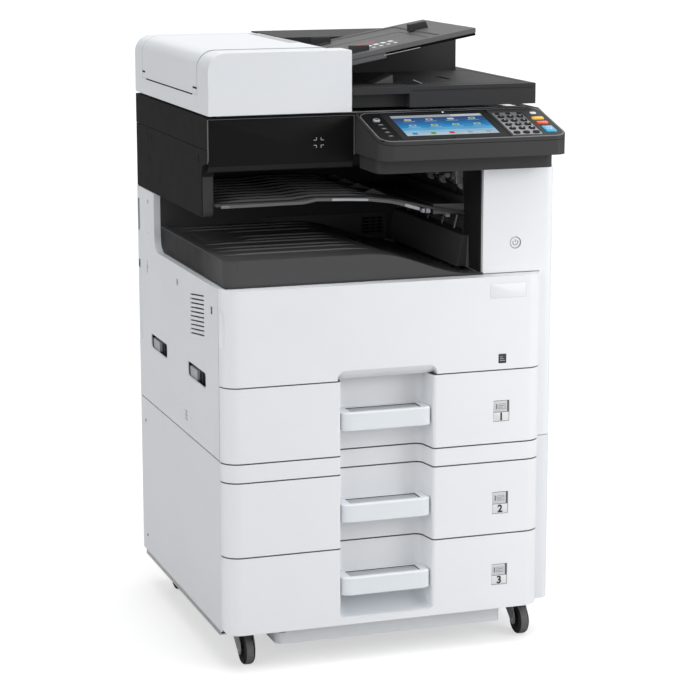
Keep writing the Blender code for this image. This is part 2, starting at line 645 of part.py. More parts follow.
def toner_and_drum():
    """Toner bottle with a rounded underside, and the drum cartridge beside it, both pulled forward."""
    bottle = arc((0.1375, 0.575), 0.0525, 180, 360, 10) + [(0.190, 0.628), (0.085, 0.628)]
    prism("toner_container", bottle, (0.012, 0.410), "y", "grey_cover")
    plan = rounded_rect((0.360, 0.475), (0.520, 0.590), (0.02, 0.02, 0.01, 0.01))
    drum = prism("drum_unit", plan, (0.015, 0.430), "y", "black_cover")
    join(drum, rod("drum", (0.470, 0.045, 0.555), (0.470, 0.400, 0.555), 0.015, None, sides=24))


def fuser_roller():
    x, z = FUSER_AXIS
    rod("fuser_roller", (x, 0.0950, z), (x, 0.500, z), FUSER_R, "rubber", (x, 0.30, z), 24)


# ---- scanner -------------------------------------------------------------------------------------
def scanner_housing():
    """Flatbed body, undercut at its front, with a well for the carriage under the glass."""
    low = COLUMN_TOP + 0.0015
    side = [(SCAN_Y0, SCANNER_TOP), (SCAN_Y0, 0.8460)]
    side += arc((SCAN_Y0 + 0.012, 0.8460), 0.012, 180, 250, 4)
    side += [(0.100, low), (ADF_Y[1], low), (ADF_Y[1], SCANNER_TOP)]
    housing = prism("scanner_housing", side, (0, SCAN_R), "x", "black_cover")
    return cut_box(housing, ((-0.01, 0.0208), (-0.1, 0.7), (0.7, 0.8682)),
                   ((0.030, 0.560), (0.075, 0.515), (0.874, 1.0)))


def scanner_left_cover():
    """Cover hanging below the left end of the scanner, with a forward curve at its top."""
    front = 0.090
    low, high, rear = 0.754, 0.8677, BACK - SKIN - GAP
    side = [(front, low), (front, 0.8225)] + arc((front - 0.022, 0.8225), 0.022, 0, 60, 4)
    side += [(SCAN_Y0 + 0.004, 0.8465), (SCAN_Y0, 0.853), (SCAN_Y0, high), (rear, high), (rear, low)]
    cover = prism("scanner_left_cover", side, (0, 0.0205), "x", "black_cover")
    return cut_box(cover, ((SKIN, 0.05), (front + SKIN, rear - SKIN), (low - 0.01, 0.8275)))


def platen_glass():
    return box("platen_glass", (0.0303, 0.5597), (0.0753, 0.5147), (0.9170, 0.9205), "glass")


def scan_carriage():
    """Lamp and mirror carriage that travels to the right under the glass."""
    x, z = (0.038, 0.096), (0.880, 0.912)
    carriage = box("scan_carriage", x, (0.083, 0.507), z, "black_cover", (0.067, 0.295, 0.896))
    return cut_box(carriage, ((0.060, 0.074), (0.095, 0.495), (0.900, 0.95)))


# ---- operation panel -----------------------------------------------------------------------------
def panel_height(y):
    """Height of the sloping panel top over a depth."""
    return SCANNER_TOP + PANEL_SLOPE * (y - SCAN_Y0)


def slope_cutter(name, x, y, depth):
    """Everything above a plane a given depth under the panel's top, over a patch."""
    side = [(a, panel_height(a) - depth) for a in y] + [(y[1], 1.1), (y[0], 1.1)]
    return prism(name, side, x, "x", None)


def panel_housing():
    """Wedge-shaped panel on a narrower base, recessed for the glass and the key mat."""
    y = (PANEL_FRONT, SCAN_Y0 - GAP)
    plan = rounded_rect(PANEL_X, y, (0.025, 0.022, 0, 0), 5)
    housing = prism("panel_housing", plan, (PANEL_BOTTOM, 0.93), "z", "black_cover")
    base_plan = rounded_rect((PANEL_X[0] + 0.008, PANEL_X[1] - 0.010), (-0.040, y[1]),
                             (0.018, 0.012, 0, 0))
    join(housing, prism("panel_base", base_plan, (PANEL_BASE, PANEL_BOTTOM + 0.001), "z", None))
    cut(housing, slope_cutter("panel_top", (0.2, 0.7), (-0.2, 0.2), 0),
        slope_cutter("glass_bed", GLASS_X, GLASS_Y, 0.0021),
        slope_cutter("mat_bed", MAT_X, MAT_Y, 0.0046))
    holes = [key_mesh(spot, size, 0.0045, 0.01, KEY_CLEAR) for _, spot, size, _ in COLOUR_KEYS]
    holes.append(key_mesh(HOME_KEY, (HOME_SIZE, HOME_SIZE), 0.0055, 0.01, KEY_CLEAR))
    return cut(housing, *[to_object(f"key_hole_{i}", bm, (0, 0, 0), None) for i, bm in enumerate(holes)])


def key_mesh(spot, size, below, above, grow=0.0):
    """Block standing square to the panel's slope around a point of its top."""
    bm = bmesh.new()
    bmesh.ops.create_cube(bm, size=1.0)
    tall = below + above
    bmesh.ops.scale(bm, vec=(size[0] + 2 * grow, size[1] + 2 * grow, tall), verts=bm.verts)
    bmesh.ops.translate(bm, vec=(0, 0, (above - below) / 2), verts=bm.verts)
    tilt = Vector((0, 0, 1)).rotation_difference(PANEL_NORMAL).to_matrix().to_4x4()
    centre = Vector((spot[0], spot[1], panel_height(spot[1])))
    bmesh.ops.transform(bm, matrix=Matrix.Translation(centre) @ tilt, verts=bm.verts)
    return bm


def key(name, spot, size, below, above, finish):
    middle = (spot[0], spot[1], panel_height(spot[1]))
    to_object(name, key_mesh(spot, size, below, above), middle, finish)


def display_glass():
    """Glossy plate over the touch screen, with a hole for the home key."""
    near, far, thick = GLASS_Y[0] + GAP, GLASS_Y[1] - GAP, 0.0018
    side = [(y, panel_height(y) - drop)
            for y, drop in ((near, thick), (far, thick), (far, 0), (near, 0))]
    glass = prism("display_glass", side, (GLASS_X[0] + GAP, GLASS_X[1] - GAP), "x", "black_gloss")
    hole = key_mesh(HOME_KEY, (HOME_SIZE, HOME_SIZE), 0.01, 0.01, KEY_CLEAR)
    return cut(glass, to_object("home_hole", hole, (0, 0, 0), None))


def number_keys():
    """One moulded mat that carries the number keys and the small function keys."""
    def mat_side(drop):
        return [(y, panel_height(y) - drop) for y in (MAT_Y[0] + GAP, MAT_Y[1] - GAP)]
    low, high = mat_side(0.0030), mat_side(0.0016)
    mat = prism("number_keys", low + high[::-1], (MAT_X[0] + GAP, MAT_X[1] - GAP), "x", "silver_key",
                (0.5155, -0.0140, panel_height(-0.0140)))
    studs = [key_mesh((x, y), STUD, 0.002, 0.0016) for y in NUMBER_ROWS for x in NUMBER_COLUMNS]
    return join(mat, *[to_object(f"key_stud_{i}", bm, (0, 0, 0), None) for i, bm in enumerate(studs)])


def panel_keys():
    for name, spot, size, finish in COLOUR_KEYS:
        key(name, spot, size, 0.0030, 0.0022, finish)
    key("home_key", HOME_KEY, (HOME_SIZE, HOME_SIZE), 0.0040, 0.0020, "silver_key")


# ---- document feeder -----------------------------------------------------------------------------
def feeder_side():
    """Front view of the feeder box: big radius on the upper left edge."""
    big = 0.030
    return ([(0, ADF_Z0)] + arc((big, ADF_TOP - big), big, 180, 90, 6)
            + [(ADF_R, ADF_TOP), (ADF_R, ADF_Z0)])


def adf_box():
    """White feeder body: front and rear blocks joined by a low left wall, open in the middle."""
    body = prism("adf_box", feeder_side(), ADF_Y, "y", "white_cover", (ADF_R / 2, *ADF_PIN))
    front, rear = LID_Y[0] - SEAM, LID_Y[1] + SEAM
    low = 0.9513
    return cut_box(body, ((LID_X + SEAM, 0.3), (0.0985, 0.6), (0.9, 1.1)),
                   ((-0.1, 0.3), (front, rear), (low, 1.1)),
                   ((SKIN, 0.3), (front, rear), (ADF_Z0 + SKIN, 1.1)),
                   ((SKIN, LID_X - SKIN), (ADF_Y[0] + SKIN, front - SKIN), (0.9, ADF_TOP - 0.030)),
                   ((SKIN, LID_X - SKIN), (rear + SKIN, ADF_Y[1] - SKIN), (0.9, ADF_TOP - 0.030)))


def adf_top_cover():
    """Curved lid over the feed rollers, hinged near the foot of its left side."""
    low = 0.9535
    top, big = ADF_TOP + SEAM, 0.030
    outer = [(0, low)] + arc((big, top - big), big, 180, 90, 8) + [(LID_X, top)]
    inner = [(SKIN, low)] + arc((big, top - big), big - SKIN, 180, 90, 8) + [(LID_X, top - SKIN)]
    pin = (0.008, (LID_Y[0] + LID_Y[1]) / 2, 0.9645)
    return prism("adf_top_cover", outer + inner[::-1], LID_Y, "y", "white_cover", pin)


def adf_base():
    """Black platen cover with its rear housing and the paper entry beside the white box."""
    x = (ADF_R + 0.0007, PLATEN_R)
    base = box("adf_base", x, ADF_Y, (0.9285, 0.963), "black_cover", (sum(x) / 2, *ADF_PIN))
    rear = box("rear_housing", (LID_X + 2 * SEAM, 0.545), (0.340, ADF_Y[1]), (0.9285, 1.0275), None)
    entry = [(LID_X + 2 * SEAM, 0.9285), (0.330, 0.9285), (0.330, 0.984), (LID_X + 2 * SEAM, 1.000)]
    throat = prism("paper_entry", entry, (0.0995, 0.342), "y", None)
    join(base, rear, throat)
    return cut_box(base, ((0.2, 0.3465), (0.0, 0.066), (0.9, 0.9515)),
                   ((0.255, 0.5425), (0.3425, 0.5315), (0.90, 1.0245)),
                   ((0.255, 0.565), (0.072, 0.3395), (0.90, 0.955)))


def tray_top(x):
    """Height of the original tray's top over a distance from the left."""
    return ORIGINAL_TIP[1] + ORIGINAL_RISE * (x - ORIGINAL_TIP[0])


def document_tray():
    """Sloping original tray that lifts at its outer end."""
    x, end, thick = ORIGINAL_START, ORIGINAL_TIP[0], 0.0085
    outline = [(x, tray_top(x) - thick), (end, tray_top(end) - thick), (end, tray_top(end)),
               (x, tray_top(x))]
    pin = (x + 0.004, 0.211, tray_top(x) - 0.0045)
    tray = prism("document_tray", outline, (0.0850, 0.3370), "y", "black_cover", pin)
    low, high = x - 0.01, end - 0.06
    bed = [(low, tray_top(low) - 0.002), (high, tray_top(high) - 0.002), (high, 1.2), (low, 1.2)]
    return cut(tray, prism("tray_recess", bed, (0.097, 0.325), "y", None))


def document_guides():
    """Pair of upright, level-topped side guides that slide apart and together on the tray."""
    x = (0.262, 0.298)
    floor = [tray_top(a) - 0.0017 for a in x]
    middle, top = (x[0] + x[1]) / 2, tray_top(x[1]) + 0.0065
    for name, y, foot_y in (("document_guide_front", (0.108, 0.112), (0.107, 0.128)),
                            ("document_guide_rear", (0.310, 0.314), (0.294, 0.315))):
        fin = [(x[0], floor[0]), (x[1], floor[1]), (x[1], top), (x[0], top)]
        guide = prism(name, fin, y, "y", "black_cover", (middle, (y[0] + y[1]) / 2, floor[0]))
        a, b = x[0] + 0.006, x[1] - 0.006
        sole = [(a, tray_top(a) - 0.0017), (b, tray_top(b) - 0.0017),
                (b, tray_top(b) - 0.0002), (a, tray_top(a) - 0.0002)]
        join(guide, prism(f"{name}_foot", sole, foot_y, "y", None))


# ---- the machine ---------------------------------------------------------------------------------
def build():
    drawers()
    front_strip()
    front_cover()
    feeder_frame()
    feeder_covers()
    feeder_plinth()
    castors()
    main_frame()
    main_left_cover()
    main_rear_cover()
    power_inlet()
    right_column()
    power_button()
    right_cover()
    bypass_tray()
    output_tray()
    cavity_wall()
    separator_tray()
    eject_housing()
    eject_rollers()
    toner_and_drum()
    fuser_roller()
    scanner_housing()
    scanner_left_cover()
    platen_glass()
    scan_carriage()
    panel_housing()
    display_glass()
    number_keys()
    panel_keys()
    adf_box()
    adf_top_cover()
    adf_base()
    document_tray()
    document_guides()


build()
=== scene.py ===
"""Studio scene of a floor-standing photocopier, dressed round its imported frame.

Pieces are laid out from the lower left front corner of the machine's body: x to the right, y to
the back from the front edge of the side covers, z up from the floor. CORNER moves them into place.
"""
import json
from math import cos, pi, radians, sin

import bmesh
import bpy
from mathutils import Matrix, Vector

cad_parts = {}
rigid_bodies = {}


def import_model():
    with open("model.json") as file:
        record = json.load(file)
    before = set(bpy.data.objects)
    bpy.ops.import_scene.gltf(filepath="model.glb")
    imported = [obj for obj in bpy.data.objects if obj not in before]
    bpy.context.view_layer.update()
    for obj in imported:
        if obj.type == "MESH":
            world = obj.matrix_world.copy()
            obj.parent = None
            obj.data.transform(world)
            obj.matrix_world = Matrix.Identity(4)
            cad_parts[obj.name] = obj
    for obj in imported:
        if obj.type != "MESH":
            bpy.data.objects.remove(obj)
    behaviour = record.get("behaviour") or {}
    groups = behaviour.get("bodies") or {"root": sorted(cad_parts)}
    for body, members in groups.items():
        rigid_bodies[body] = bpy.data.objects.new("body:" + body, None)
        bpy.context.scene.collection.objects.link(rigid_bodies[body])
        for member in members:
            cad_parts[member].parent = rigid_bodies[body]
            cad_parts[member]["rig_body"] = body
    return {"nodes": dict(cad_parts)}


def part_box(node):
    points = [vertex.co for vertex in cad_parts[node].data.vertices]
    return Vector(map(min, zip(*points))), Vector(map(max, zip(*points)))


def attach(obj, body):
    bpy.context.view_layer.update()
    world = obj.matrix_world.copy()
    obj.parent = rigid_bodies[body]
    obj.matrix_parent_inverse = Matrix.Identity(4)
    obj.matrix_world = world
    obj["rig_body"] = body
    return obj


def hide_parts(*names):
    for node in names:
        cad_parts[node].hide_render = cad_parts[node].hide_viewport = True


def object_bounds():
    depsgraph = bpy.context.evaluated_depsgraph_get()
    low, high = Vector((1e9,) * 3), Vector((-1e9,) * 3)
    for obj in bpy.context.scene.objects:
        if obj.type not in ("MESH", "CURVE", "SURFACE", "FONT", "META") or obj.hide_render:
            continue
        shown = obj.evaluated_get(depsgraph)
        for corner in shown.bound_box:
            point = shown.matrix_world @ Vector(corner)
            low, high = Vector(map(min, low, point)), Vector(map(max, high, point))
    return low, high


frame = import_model()
CAD_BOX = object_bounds()
NODES = frame["nodes"]
GAP = 0.0003                                  # air between touching pieces
CORNER = Vector((CAD_BOX[0].x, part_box("feeder_left_cover")[0].y - GAP, 0.0))


def node_box(node):
    """Lowest and highest corner of a CAD node, from the machine's corner."""
    low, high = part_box(node)
    return low - CORNER, high - CORNER


# ---- places read from the frame ------------------------------------------------------------------
FACE_Y = node_box("drawer_1_front")[0].y      # flat face of the fronts
BACK = node_box("main_rear_cover")[1].y
WIDTH = node_box("right_column")[1].x
COLUMN_X = node_box("right_column")[0].x      # right wall of the output cavity
CAVITY_BACK = node_box("cavity_wall")[0].y
SCANNER_TOP = node_box("scanner_housing")[1].z
SCAN_Y0 = node_box("scanner_housing")[0].y
COVER_Z = (node_box("front_cover")[0].z, node_box("front_cover")[1].z)
CHANNEL_X = (0.195, 0.3705)                   # front edges of the grip channel
PANEL_SLOPE, TRAY_RISE = 0.27, 0.182
TRAY_TIP = (0.480, node_box("document_tray")[1].z)


# ---- materials -----------------------------------------------------------------------------------
def tint(red, green, blue):
    """Linear colour from display values 0 to 255."""
    def one(value):
        share = value / 255
        return ((share + 0.055) / 1.055) ** 2.4 if share > 0.04045 else share / 12.92
    return (one(red), one(green), one(blue), 1.0)


class Finish:
    """A Principled material whose colour, roughness and relief come from noise in object space."""

    def __init__(self, name, metallic=0.0, specular=0.5, coat=0.0, coat_rough=0.08, ior=1.5):
        self.material = bpy.data.materials.new(name)
        self.material.use_nodes = True
        self.tree = self.material.node_tree
        self.shader = self.tree.nodes["Principled BSDF"]
        self.shader.inputs["Metallic"].default_value = metallic
        self.shader.inputs["Specular IOR Level"].default_value = specular
        self.shader.inputs["Coat Weight"].default_value = coat
        self.shader.inputs["Coat Roughness"].default_value = coat_rough
        self.shader.inputs["IOR"].default_value = ior
        self.place = self.node("ShaderNodeTexCoord").outputs["Object"]

    def node(self, kind, **settings):
        made = self.tree.nodes.new(kind)
        for key, value in settings.items():
            setattr(made, key, value)
        return made

    def link(self, source, target):
        self.tree.links.new(source, target)

    def stretched(self, scale):
        """Object coordinates scaled by a different amount on each axis."""
        mapping = self.node("ShaderNodeMapping")
        mapping.inputs["Scale"].default_value = scale
        self.link(self.place, mapping.inputs["Vector"])
        return mapping.outputs["Vector"]

    def noise(self, scale, detail=3.0, rough=0.5, where=None):
        texture = self.node("ShaderNodeTexNoise")
        texture.inputs["Scale"].default_value = scale
        texture.inputs["Detail"].default_value = detail
        texture.inputs["Roughness"].default_value = rough
        self.link(where or self.place, texture.inputs["Vector"])
        return texture.outputs["Fac"]

    def cells(self, scale, where=None):
        texture = self.node("ShaderNodeTexVoronoi")
        texture.inputs["Scale"].default_value = scale
        self.link(where or self.place, texture.inputs["Vector"])
        return texture

    def ranged(self, value, low, high, start=0.3, stop=0.7):
        """Map a value from start..stop to low..high."""
        spread = self.node("ShaderNodeMapRange")
        for key, number in (("From Min", start), ("From Max", stop), ("To Min", low), ("To Max", high)):
            spread.inputs[key].default_value = number
        self.link(value, spread.inputs["Value"])
        return spread.outputs["Result"]

    def mix(self, share, first, second):
        """Blend two colours, each a tuple or another node's colour."""
        blend = self.node("ShaderNodeMix", data_type="RGBA")
        self.link(share, blend.inputs[0])
        for socket, color in ((blend.inputs[6], first), (blend.inputs[7], second)):
            if isinstance(color, tuple):
                socket.default_value = color
            else:
                self.link(color, socket)
        return blend.outputs[2]

    def relief(self, height, distance, strength=1.0, onto=None):
        bump = self.node("ShaderNodeBump")
        bump.inputs["Distance"].default_value = distance
        bump.inputs["Strength"].default_value = strength
        self.link(height, bump.inputs["Height"])
        if onto:
            self.link(onto, bump.inputs["Normal"])
        return bump.outputs["Normal"]

    def set(self, color=None, rough=None, normal=None):
        for socket, value in (("Base Color", color), ("Roughness", rough), ("Normal", normal)):
            if value is not None:
                self.link(value, self.shader.inputs[socket])
        return self.material


def scaled(color, factor):
    return tuple(min(1.0, c * factor) for c in color[:3]) + (1.0,)


def moulded(name, color, rough, grain=1500, depth=0.00005, mottle=0.03, rub=0.12, **shader):
    """Moulded plastic: fine spark-eroded grain, faint flow clouds, edges rubbed a little paler."""
    finish = Finish(name, **shader)
    cloud = finish.ranged(finish.noise(5.5, 4.0, 0.6), 0.0, 1.0)
    base = finish.mix(cloud, scaled(color, 1 - mottle), scaled(color, 1 + mottle))
    edge = finish.node("ShaderNodeNewGeometry").outputs["Pointiness"]
    worn = finish.ranged(edge, 0.0, rub, 0.52, 0.62)
    base = finish.mix(worn, base, scaled(color, 1.35))
    handled = finish.ranged(finish.noise(38, 6.0, 0.65), rough - 0.025, rough + 0.025)
    pores = finish.relief(finish.noise(grain, 2.0), depth)
    waves = finish.relief(finish.noise(26, 1.0), 0.00003, 0.35, pores)
    return finish.set(base, handled, waves)


def sheet_metal(name, color, rough, spangle=0.10):
    """Zinc-coated sheet: pale crystal spangle and faint rolling marks."""
    finish = Finish(name, metallic=0.95)
    crystal = finish.cells(95).outputs["Color"]
    grey = finish.node("ShaderNodeRGBToBW")
    finish.link(crystal, grey.inputs["Color"])
    flake = finish.ranged(grey.outputs["Val"], 0.0, 1.0, 0.0, 1.0)
    base = finish.mix(flake, scaled(color, 1 - spangle), scaled(color, 1 + spangle))
    rolled = finish.noise(1.0, 3.0, 0.6, finish.stretched((40, 900, 900)))
    return finish.set(base, finish.ranged(rolled, rough - 0.08, rough + 0.1),
                      finish.relief(rolled, 0.00006, 0.5))


def turned_metal(name, color, rough):
    """Turned or plated bar with fine rings along x."""
    finish = Finish(name, metallic=1.0)
    rings = finish.noise(1.0, 3.0, 0.6, finish.stretched((120, 2400, 2400)))
    base = finish.mix(finish.ranged(rings, 0, 1), scaled(color, 0.86), scaled(color, 1.1))
    return finish.set(base, finish.ranged(rings, rough - 0.07, rough + 0.1),
                      finish.relief(rings, 0.00004, 0.5))


def clear_glass(name):
    """Float glass with the faintest smears."""
    finish = Finish(name, ior=1.5)
    finish.shader.inputs["Transmission Weight"].default_value = 1.0
    smear = finish.noise(9, 5.0, 0.7)
    base = finish.mix(finish.ranged(smear, 0, 1), (0.93, 0.97, 0.96, 1), (0.98, 1.0, 0.99, 1))
    return finish.set(base, finish.ranged(smear, 0.01, 0.05))


def rubbery(name, color, rough=0.75):
    """Rubber with a pitted skin and a dusty bloom."""
    finish = Finish(name, specular=0.35)
    dust = finish.ranged(finish.noise(60, 6.0, 0.7), 0.0, 0.5, 0.45, 0.75)
    base = finish.mix(dust, color, scaled(color, 1.9))
    pits = finish.relief(finish.noise(900, 3.0), 0.00012)
    return finish.set(base, finish.ranged(finish.noise(30, 4.0), rough - 0.08, rough + 0.1), pits)


def graded(name, light, dark, start, stop, rough):
    """Moulded plastic with painted shade that turns darker towards the back, between two depths."""
    finish = Finish(name, specular=0.14)
    split = finish.node("ShaderNodeSeparateXYZ")
    finish.link(finish.node("ShaderNodeTexCoord").outputs["Object"], split.inputs[0])
    base = finish.mix(finish.ranged(split.outputs["Y"], 0.0, 1.0, start, stop), light, dark)
    return finish.set(base, finish.ranged(finish.noise(40, 4.0), rough - 0.03, rough + 0.03),
                      finish.relief(finish.noise(1100, 3.0), 0.00005))


def lit(name, color, glow, second=None, scale=30.0):
    """Glowing display patch that drifts between two colours, dark when its light is off."""
    finish = Finish(name, specular=0.03)
    drift = finish.ranged(finish.noise(scale, 1.5), 0.0, 1.0, 0.35, 0.65)
    shade = finish.mix(drift, color, second or scaled(color, 0.82))
    finish.link(shade, finish.shader.inputs["Emission Color"])
    finish.shader.inputs["Emission Strength"].default_value = glow
    unlit = finish.mix(drift, scaled(color, 0.05), scaled(color, 0.09))
    return finish.set(unlit, finish.ranged(finish.noise(300, 2.0), 0.25, 0.4))


# the second white is painted shade, for the ramp under the handles
WHITE, SHADOWED_WHITE = tint(232, 234, 237), tint(214, 219, 224)
FINISHES = {
    "white": moulded("white_abs", WHITE, 0.48, rub=0.05, mottle=0.012),
    "cool_white": moulded("cool_white_abs", tint(226, 229, 233), 0.40, rub=0.05, mottle=0.012),
    # darker white painted as the shade the handle casts on the grip channel's lower ramp
    "toe_painted_shade": moulded("toe_shade_abs", SHADOWED_WHITE, 0.55, rub=0.05, mottle=0.012),
    "handle": moulded("handle_abs", tint(226, 231, 235), 0.30, grain=2200, depth=0.00002,
                      rub=0.08, mottle=0.010),
    "flap": moulded("flap_grey", tint(176, 178, 180), 0.45, mottle=0.02),
    "pale_grey": moulded("pale_grey_abs", tint(176, 179, 182), 0.50, mottle=0.025),
    "mid_grey": moulded("mid_grey_abs", tint(120, 122, 125), 0.50, mottle=0.03),
    # dark grey painted as the shade in gaps, seams and pockets; the power glyph uses it as print
    "seam": moulded("shadow_grey", tint(84, 86, 88), 0.60, mottle=0.05),
    "charcoal": moulded("charcoal_abs", tint(60, 60, 61), 0.50, grain=1300, depth=0.00005,
                        mottle=0.02, rub=0.22, specular=0.16),
    "side_black": moulded("side_black_abs", tint(34, 34, 35), 0.58, grain=1300, depth=0.00004,
                          mottle=0.02, rub=0.2, specular=0.04),
    "cover_black": moulded("cover_black_abs", tint(57, 57, 58), 0.56, grain=1300, depth=0.00005,
                           mottle=0.02, rub=0.2, specular=0.08),
    "doc_grey": moulded("doc_tray_abs", tint(98, 98, 99), 0.52, grain=1200, depth=0.00005,
                        mottle=0.02, rub=0.2, specular=0.12),
    "tray_black": moulded("tray_abs", tint(74, 74, 75), 0.48, grain=1100, depth=0.00005,
                          mottle=0.02, rub=0.25, specular=0.2),
    # lighter copy of the tray plastic, painted as the highlight along the rib tops
    "rib_highlight_grey": moulded("rib_highlight_abs", tint(96, 96, 97), 0.46, mottle=0.02, rub=0.25, specular=0.2),
    # painted shade: the tray side darkens towards the back, away from the lit corner
    "tray_side_shade": graded("tray_side_shade_abs", tint(78, 78, 79), tint(26, 26, 27), -0.226, -0.060, 0.48),
    "wall_black": moulded("wall_abs", tint(68, 68, 69), 0.60, mottle=0.02, rub=0.1, specular=0.1),
    "soft_black": moulded("soft_black_abs", tint(36, 36, 37), 0.55, mottle=0.04, rub=0.15, specular=0.15),
    "gloss_black": moulded("gloss_black_abs", tint(24, 24, 25), 0.34, grain=2600, depth=0.00001,
                           mottle=0.03, rub=0.15, specular=0.08),
    # paler copy of the black plastic, painted as the highlight on lips and edges
    "edge_highlight_grey": moulded("edge_highlight_abs", tint(104, 104, 105), 0.45, mottle=0.03, rub=0.3, specular=0.25),
    "print_red": moulded("printed_red", tint(196, 70, 64), 0.50, mottle=0.04, rub=0.0),
    # near black, mostly painted as the shade inside openings, slots, notches and grooves
    "void": moulded("void_black", tint(8, 8, 8), 0.85, mottle=0.15, rub=0.0, specular=0.1),
    "print_white": moulded("printed_white", tint(224, 225, 226), 0.45, mottle=0.015, rub=0.0),
    "print_dark": moulded("printed_dark", tint(40, 41, 43), 0.50, mottle=0.04, rub=0.0),
    "card_pale": moulded("card_pale", tint(206, 208, 210), 0.65, mottle=0.02, rub=0.0),
    "paper_grey": moulded("card_grey", tint(172, 174, 177), 0.65, mottle=0.03, rub=0.0),
    "steel": sheet_metal("zinc_steel", (0.60, 0.61, 0.62, 1), 0.36),
    "dark_steel": sheet_metal("dark_zinc", (0.33, 0.34, 0.35, 1), 0.42, 0.07),
    "bright_steel": turned_metal("turned_steel", (0.72, 0.72, 0.73, 1), 0.24),
    "castor_grey": moulded("castor_paint", tint(150, 151, 153), 0.38, mottle=0.05, rub=0.4,
                           metallic=0.45),
    "glass": clear_glass("float_glass"),
    "rubber": rubbery("feed_rubber", tint(70, 71, 73)),
    "tyre": rubbery("tyre_rubber", tint(92, 92, 93), 0.66),
    "drum": moulded("drum_coating", tint(28, 92, 84), 0.18, grain=2600, depth=0.00001, coat=0.6),
    "toner": moulded("toner_bottle", tint(150, 152, 156), 0.35, mottle=0.04),
    "foam": rubbery("platen_foam", tint(226, 227, 228), 0.8),
    "cyan_key": moulded("start_key", tint(32, 158, 205), 0.28, mottle=0.03, coat=0.4),
    "orange_key": moulded("stop_key", tint(230, 84, 34), 0.30, mottle=0.03, coat=0.3),
    "yellow_key": moulded("reset_key", tint(240, 190, 40), 0.30, mottle=0.03, coat=0.3),
    "silver_key": moulded("silver_key", tint(172, 175, 180), 0.30, mottle=0.03, metallic=0.3),
}
SKY = ((58, 80, 124), (50, 98, 150), (46, 118, 174), (46, 138, 196), (90, 164, 210), (146, 190, 216),
       (180, 198, 212))
GLOWS = {
    "mist": lit("screen_mist", tint(136, 178, 204), 0.72, tint(170, 198, 216)),
    "bar": lit("screen_bar", tint(176, 188, 196), 0.70),
    "paper": lit("screen_white", tint(214, 222, 228), 0.75),
    "icon_blue": lit("icon_blue", tint(60, 150, 226), 0.70),
    "icon_green": lit("icon_green", tint(96, 176, 66), 0.70),
    "icon_red": lit("icon_red", tint(206, 74, 62), 0.70),
    "icon_amber": lit("icon_amber", tint(232, 170, 50), 0.70),
    "led": lit("status_led", tint(235, 245, 255), 2.0),
}
GLOWS.update({f"sky_{i}": lit(f"screen_sky_{i}", tint(*shade), 0.78, tint(*(c + 10 for c in shade)))
              for i, shade in enumerate(SKY)})
FINISHES.update(GLOWS)


# ---- mesh helpers --------------------------------------------------------------------------------
def box(x, y, z):
    bm = bmesh.new()
    bmesh.ops.create_cube(bm, size=1.0)
    bmesh.ops.scale(bm, vec=(x[1] - x[0], y[1] - y[0], z[1] - z[0]), verts=bm.verts)
    middle = [(a[0] + a[1]) / 2 for a in (x, y, z)]
    bmesh.ops.translate(bm, vec=middle, verts=bm.verts)
    return bm


def box_from(corner, x, y, z):
    """Box whose spans are measured from a corner."""
    return box(*[(start + a, start + b) for start, (a, b) in zip(corner, (x, y, z))])


def prism(outline, span, axis):
    """Extrude a flat outline along an axis; its two coordinates are the other axes, in order."""
    places = {"x": lambda a, b, t: (t, a, b), "y": lambda a, b, t: (a, t, b),
              "z": lambda a, b, t: (a, b, t)}[axis]
    return loft([[places(a, b, t) for a, b in outline] for t in span])


def loft(rings, capped=True):
    """Closed skin over rings of equally many points."""
    bm = bmesh.new()
    rows = [[bm.verts.new(p) for p in ring] for ring in rings]
    count = len(rows[0])
    for near, far in zip(rows, rows[1:]):
        for i in range(count):
            j = (i + 1) % count
            bm.faces.new((near[i], near[j], far[j], far[i]))
    if capped:
        bm.faces.new(rows[0][::-1])
        bm.faces.new(rows[-1])
    return bm


def arc(centre, radius, first, last, steps):
    """Points along an arc, angles in degrees, both ends included."""
    angles = [radians(first + (last - first) * i / steps) for i in range(steps + 1)]
    return [(centre[0] + radius * cos(a), centre[1] + radius * sin(a)) for a in angles]


def rounded(x, y, radii, steps=5):
    """Outline with a radius for each corner: low-low, high-low, high-high, low-high."""
    radii = [radii] * 4 if isinstance(radii, float) else radii
    corners = ((x[0], y[0], 1, 1, 180), (x[1], y[0], -1, 1, 270),
               (x[1], y[1], -1, -1, 0), (x[0], y[1], 1, -1, 90))
    points = []
    for (cx, cy, sx, sy, first), radius in zip(corners, radii):
        if radius == 0:
            points.append((cx, cy))
        else:
            points += arc((cx + sx * radius, cy + sy * radius), radius, first, first + 90, steps)
    return points


def turned(profile, centre, axis, sides=32):
    """Solid of revolution. The profile gives (radius, height) along the axis, ends on the axis."""
    turn = Vector((0, 0, 1)).rotation_difference(Vector(axis)).to_matrix()
    bm = bmesh.new()
    rows = []
    for radius, height in profile:
        if radius < 1e-6:
            rows.append([bm.verts.new(turn @ Vector((0, 0, height)) + Vector(centre))])
            continue
        row = [(radius * cos(2 * pi * i / sides), radius * sin(2 * pi * i / sides), height)
               for i in range(sides)]
        rows.append([bm.verts.new(turn @ Vector(p) + Vector(centre)) for p in row])
    for near, far in zip(rows, rows[1:]):
        for i in range(sides):
            j = (i + 1) % sides
            corners = [near[i % len(near)], near[j % len(near)], far[j % len(far)], far[i % len(far)]]
            bm.faces.new(list(dict.fromkeys(corners)))
    return bm


def rod(start, end, radius, sides=20, chamfer=0.0):
    """Round bar with slightly broken ends."""
    start, end = Vector(start), Vector(end)
    length = (end - start).length
    c = chamfer or radius * 0.12
    profile = [(0, 0), (radius - c, 0), (radius, c), (radius, length - c),
               (radius - c, length), (0, length)]
    return turned(profile, start, (end - start).normalized(), sides)


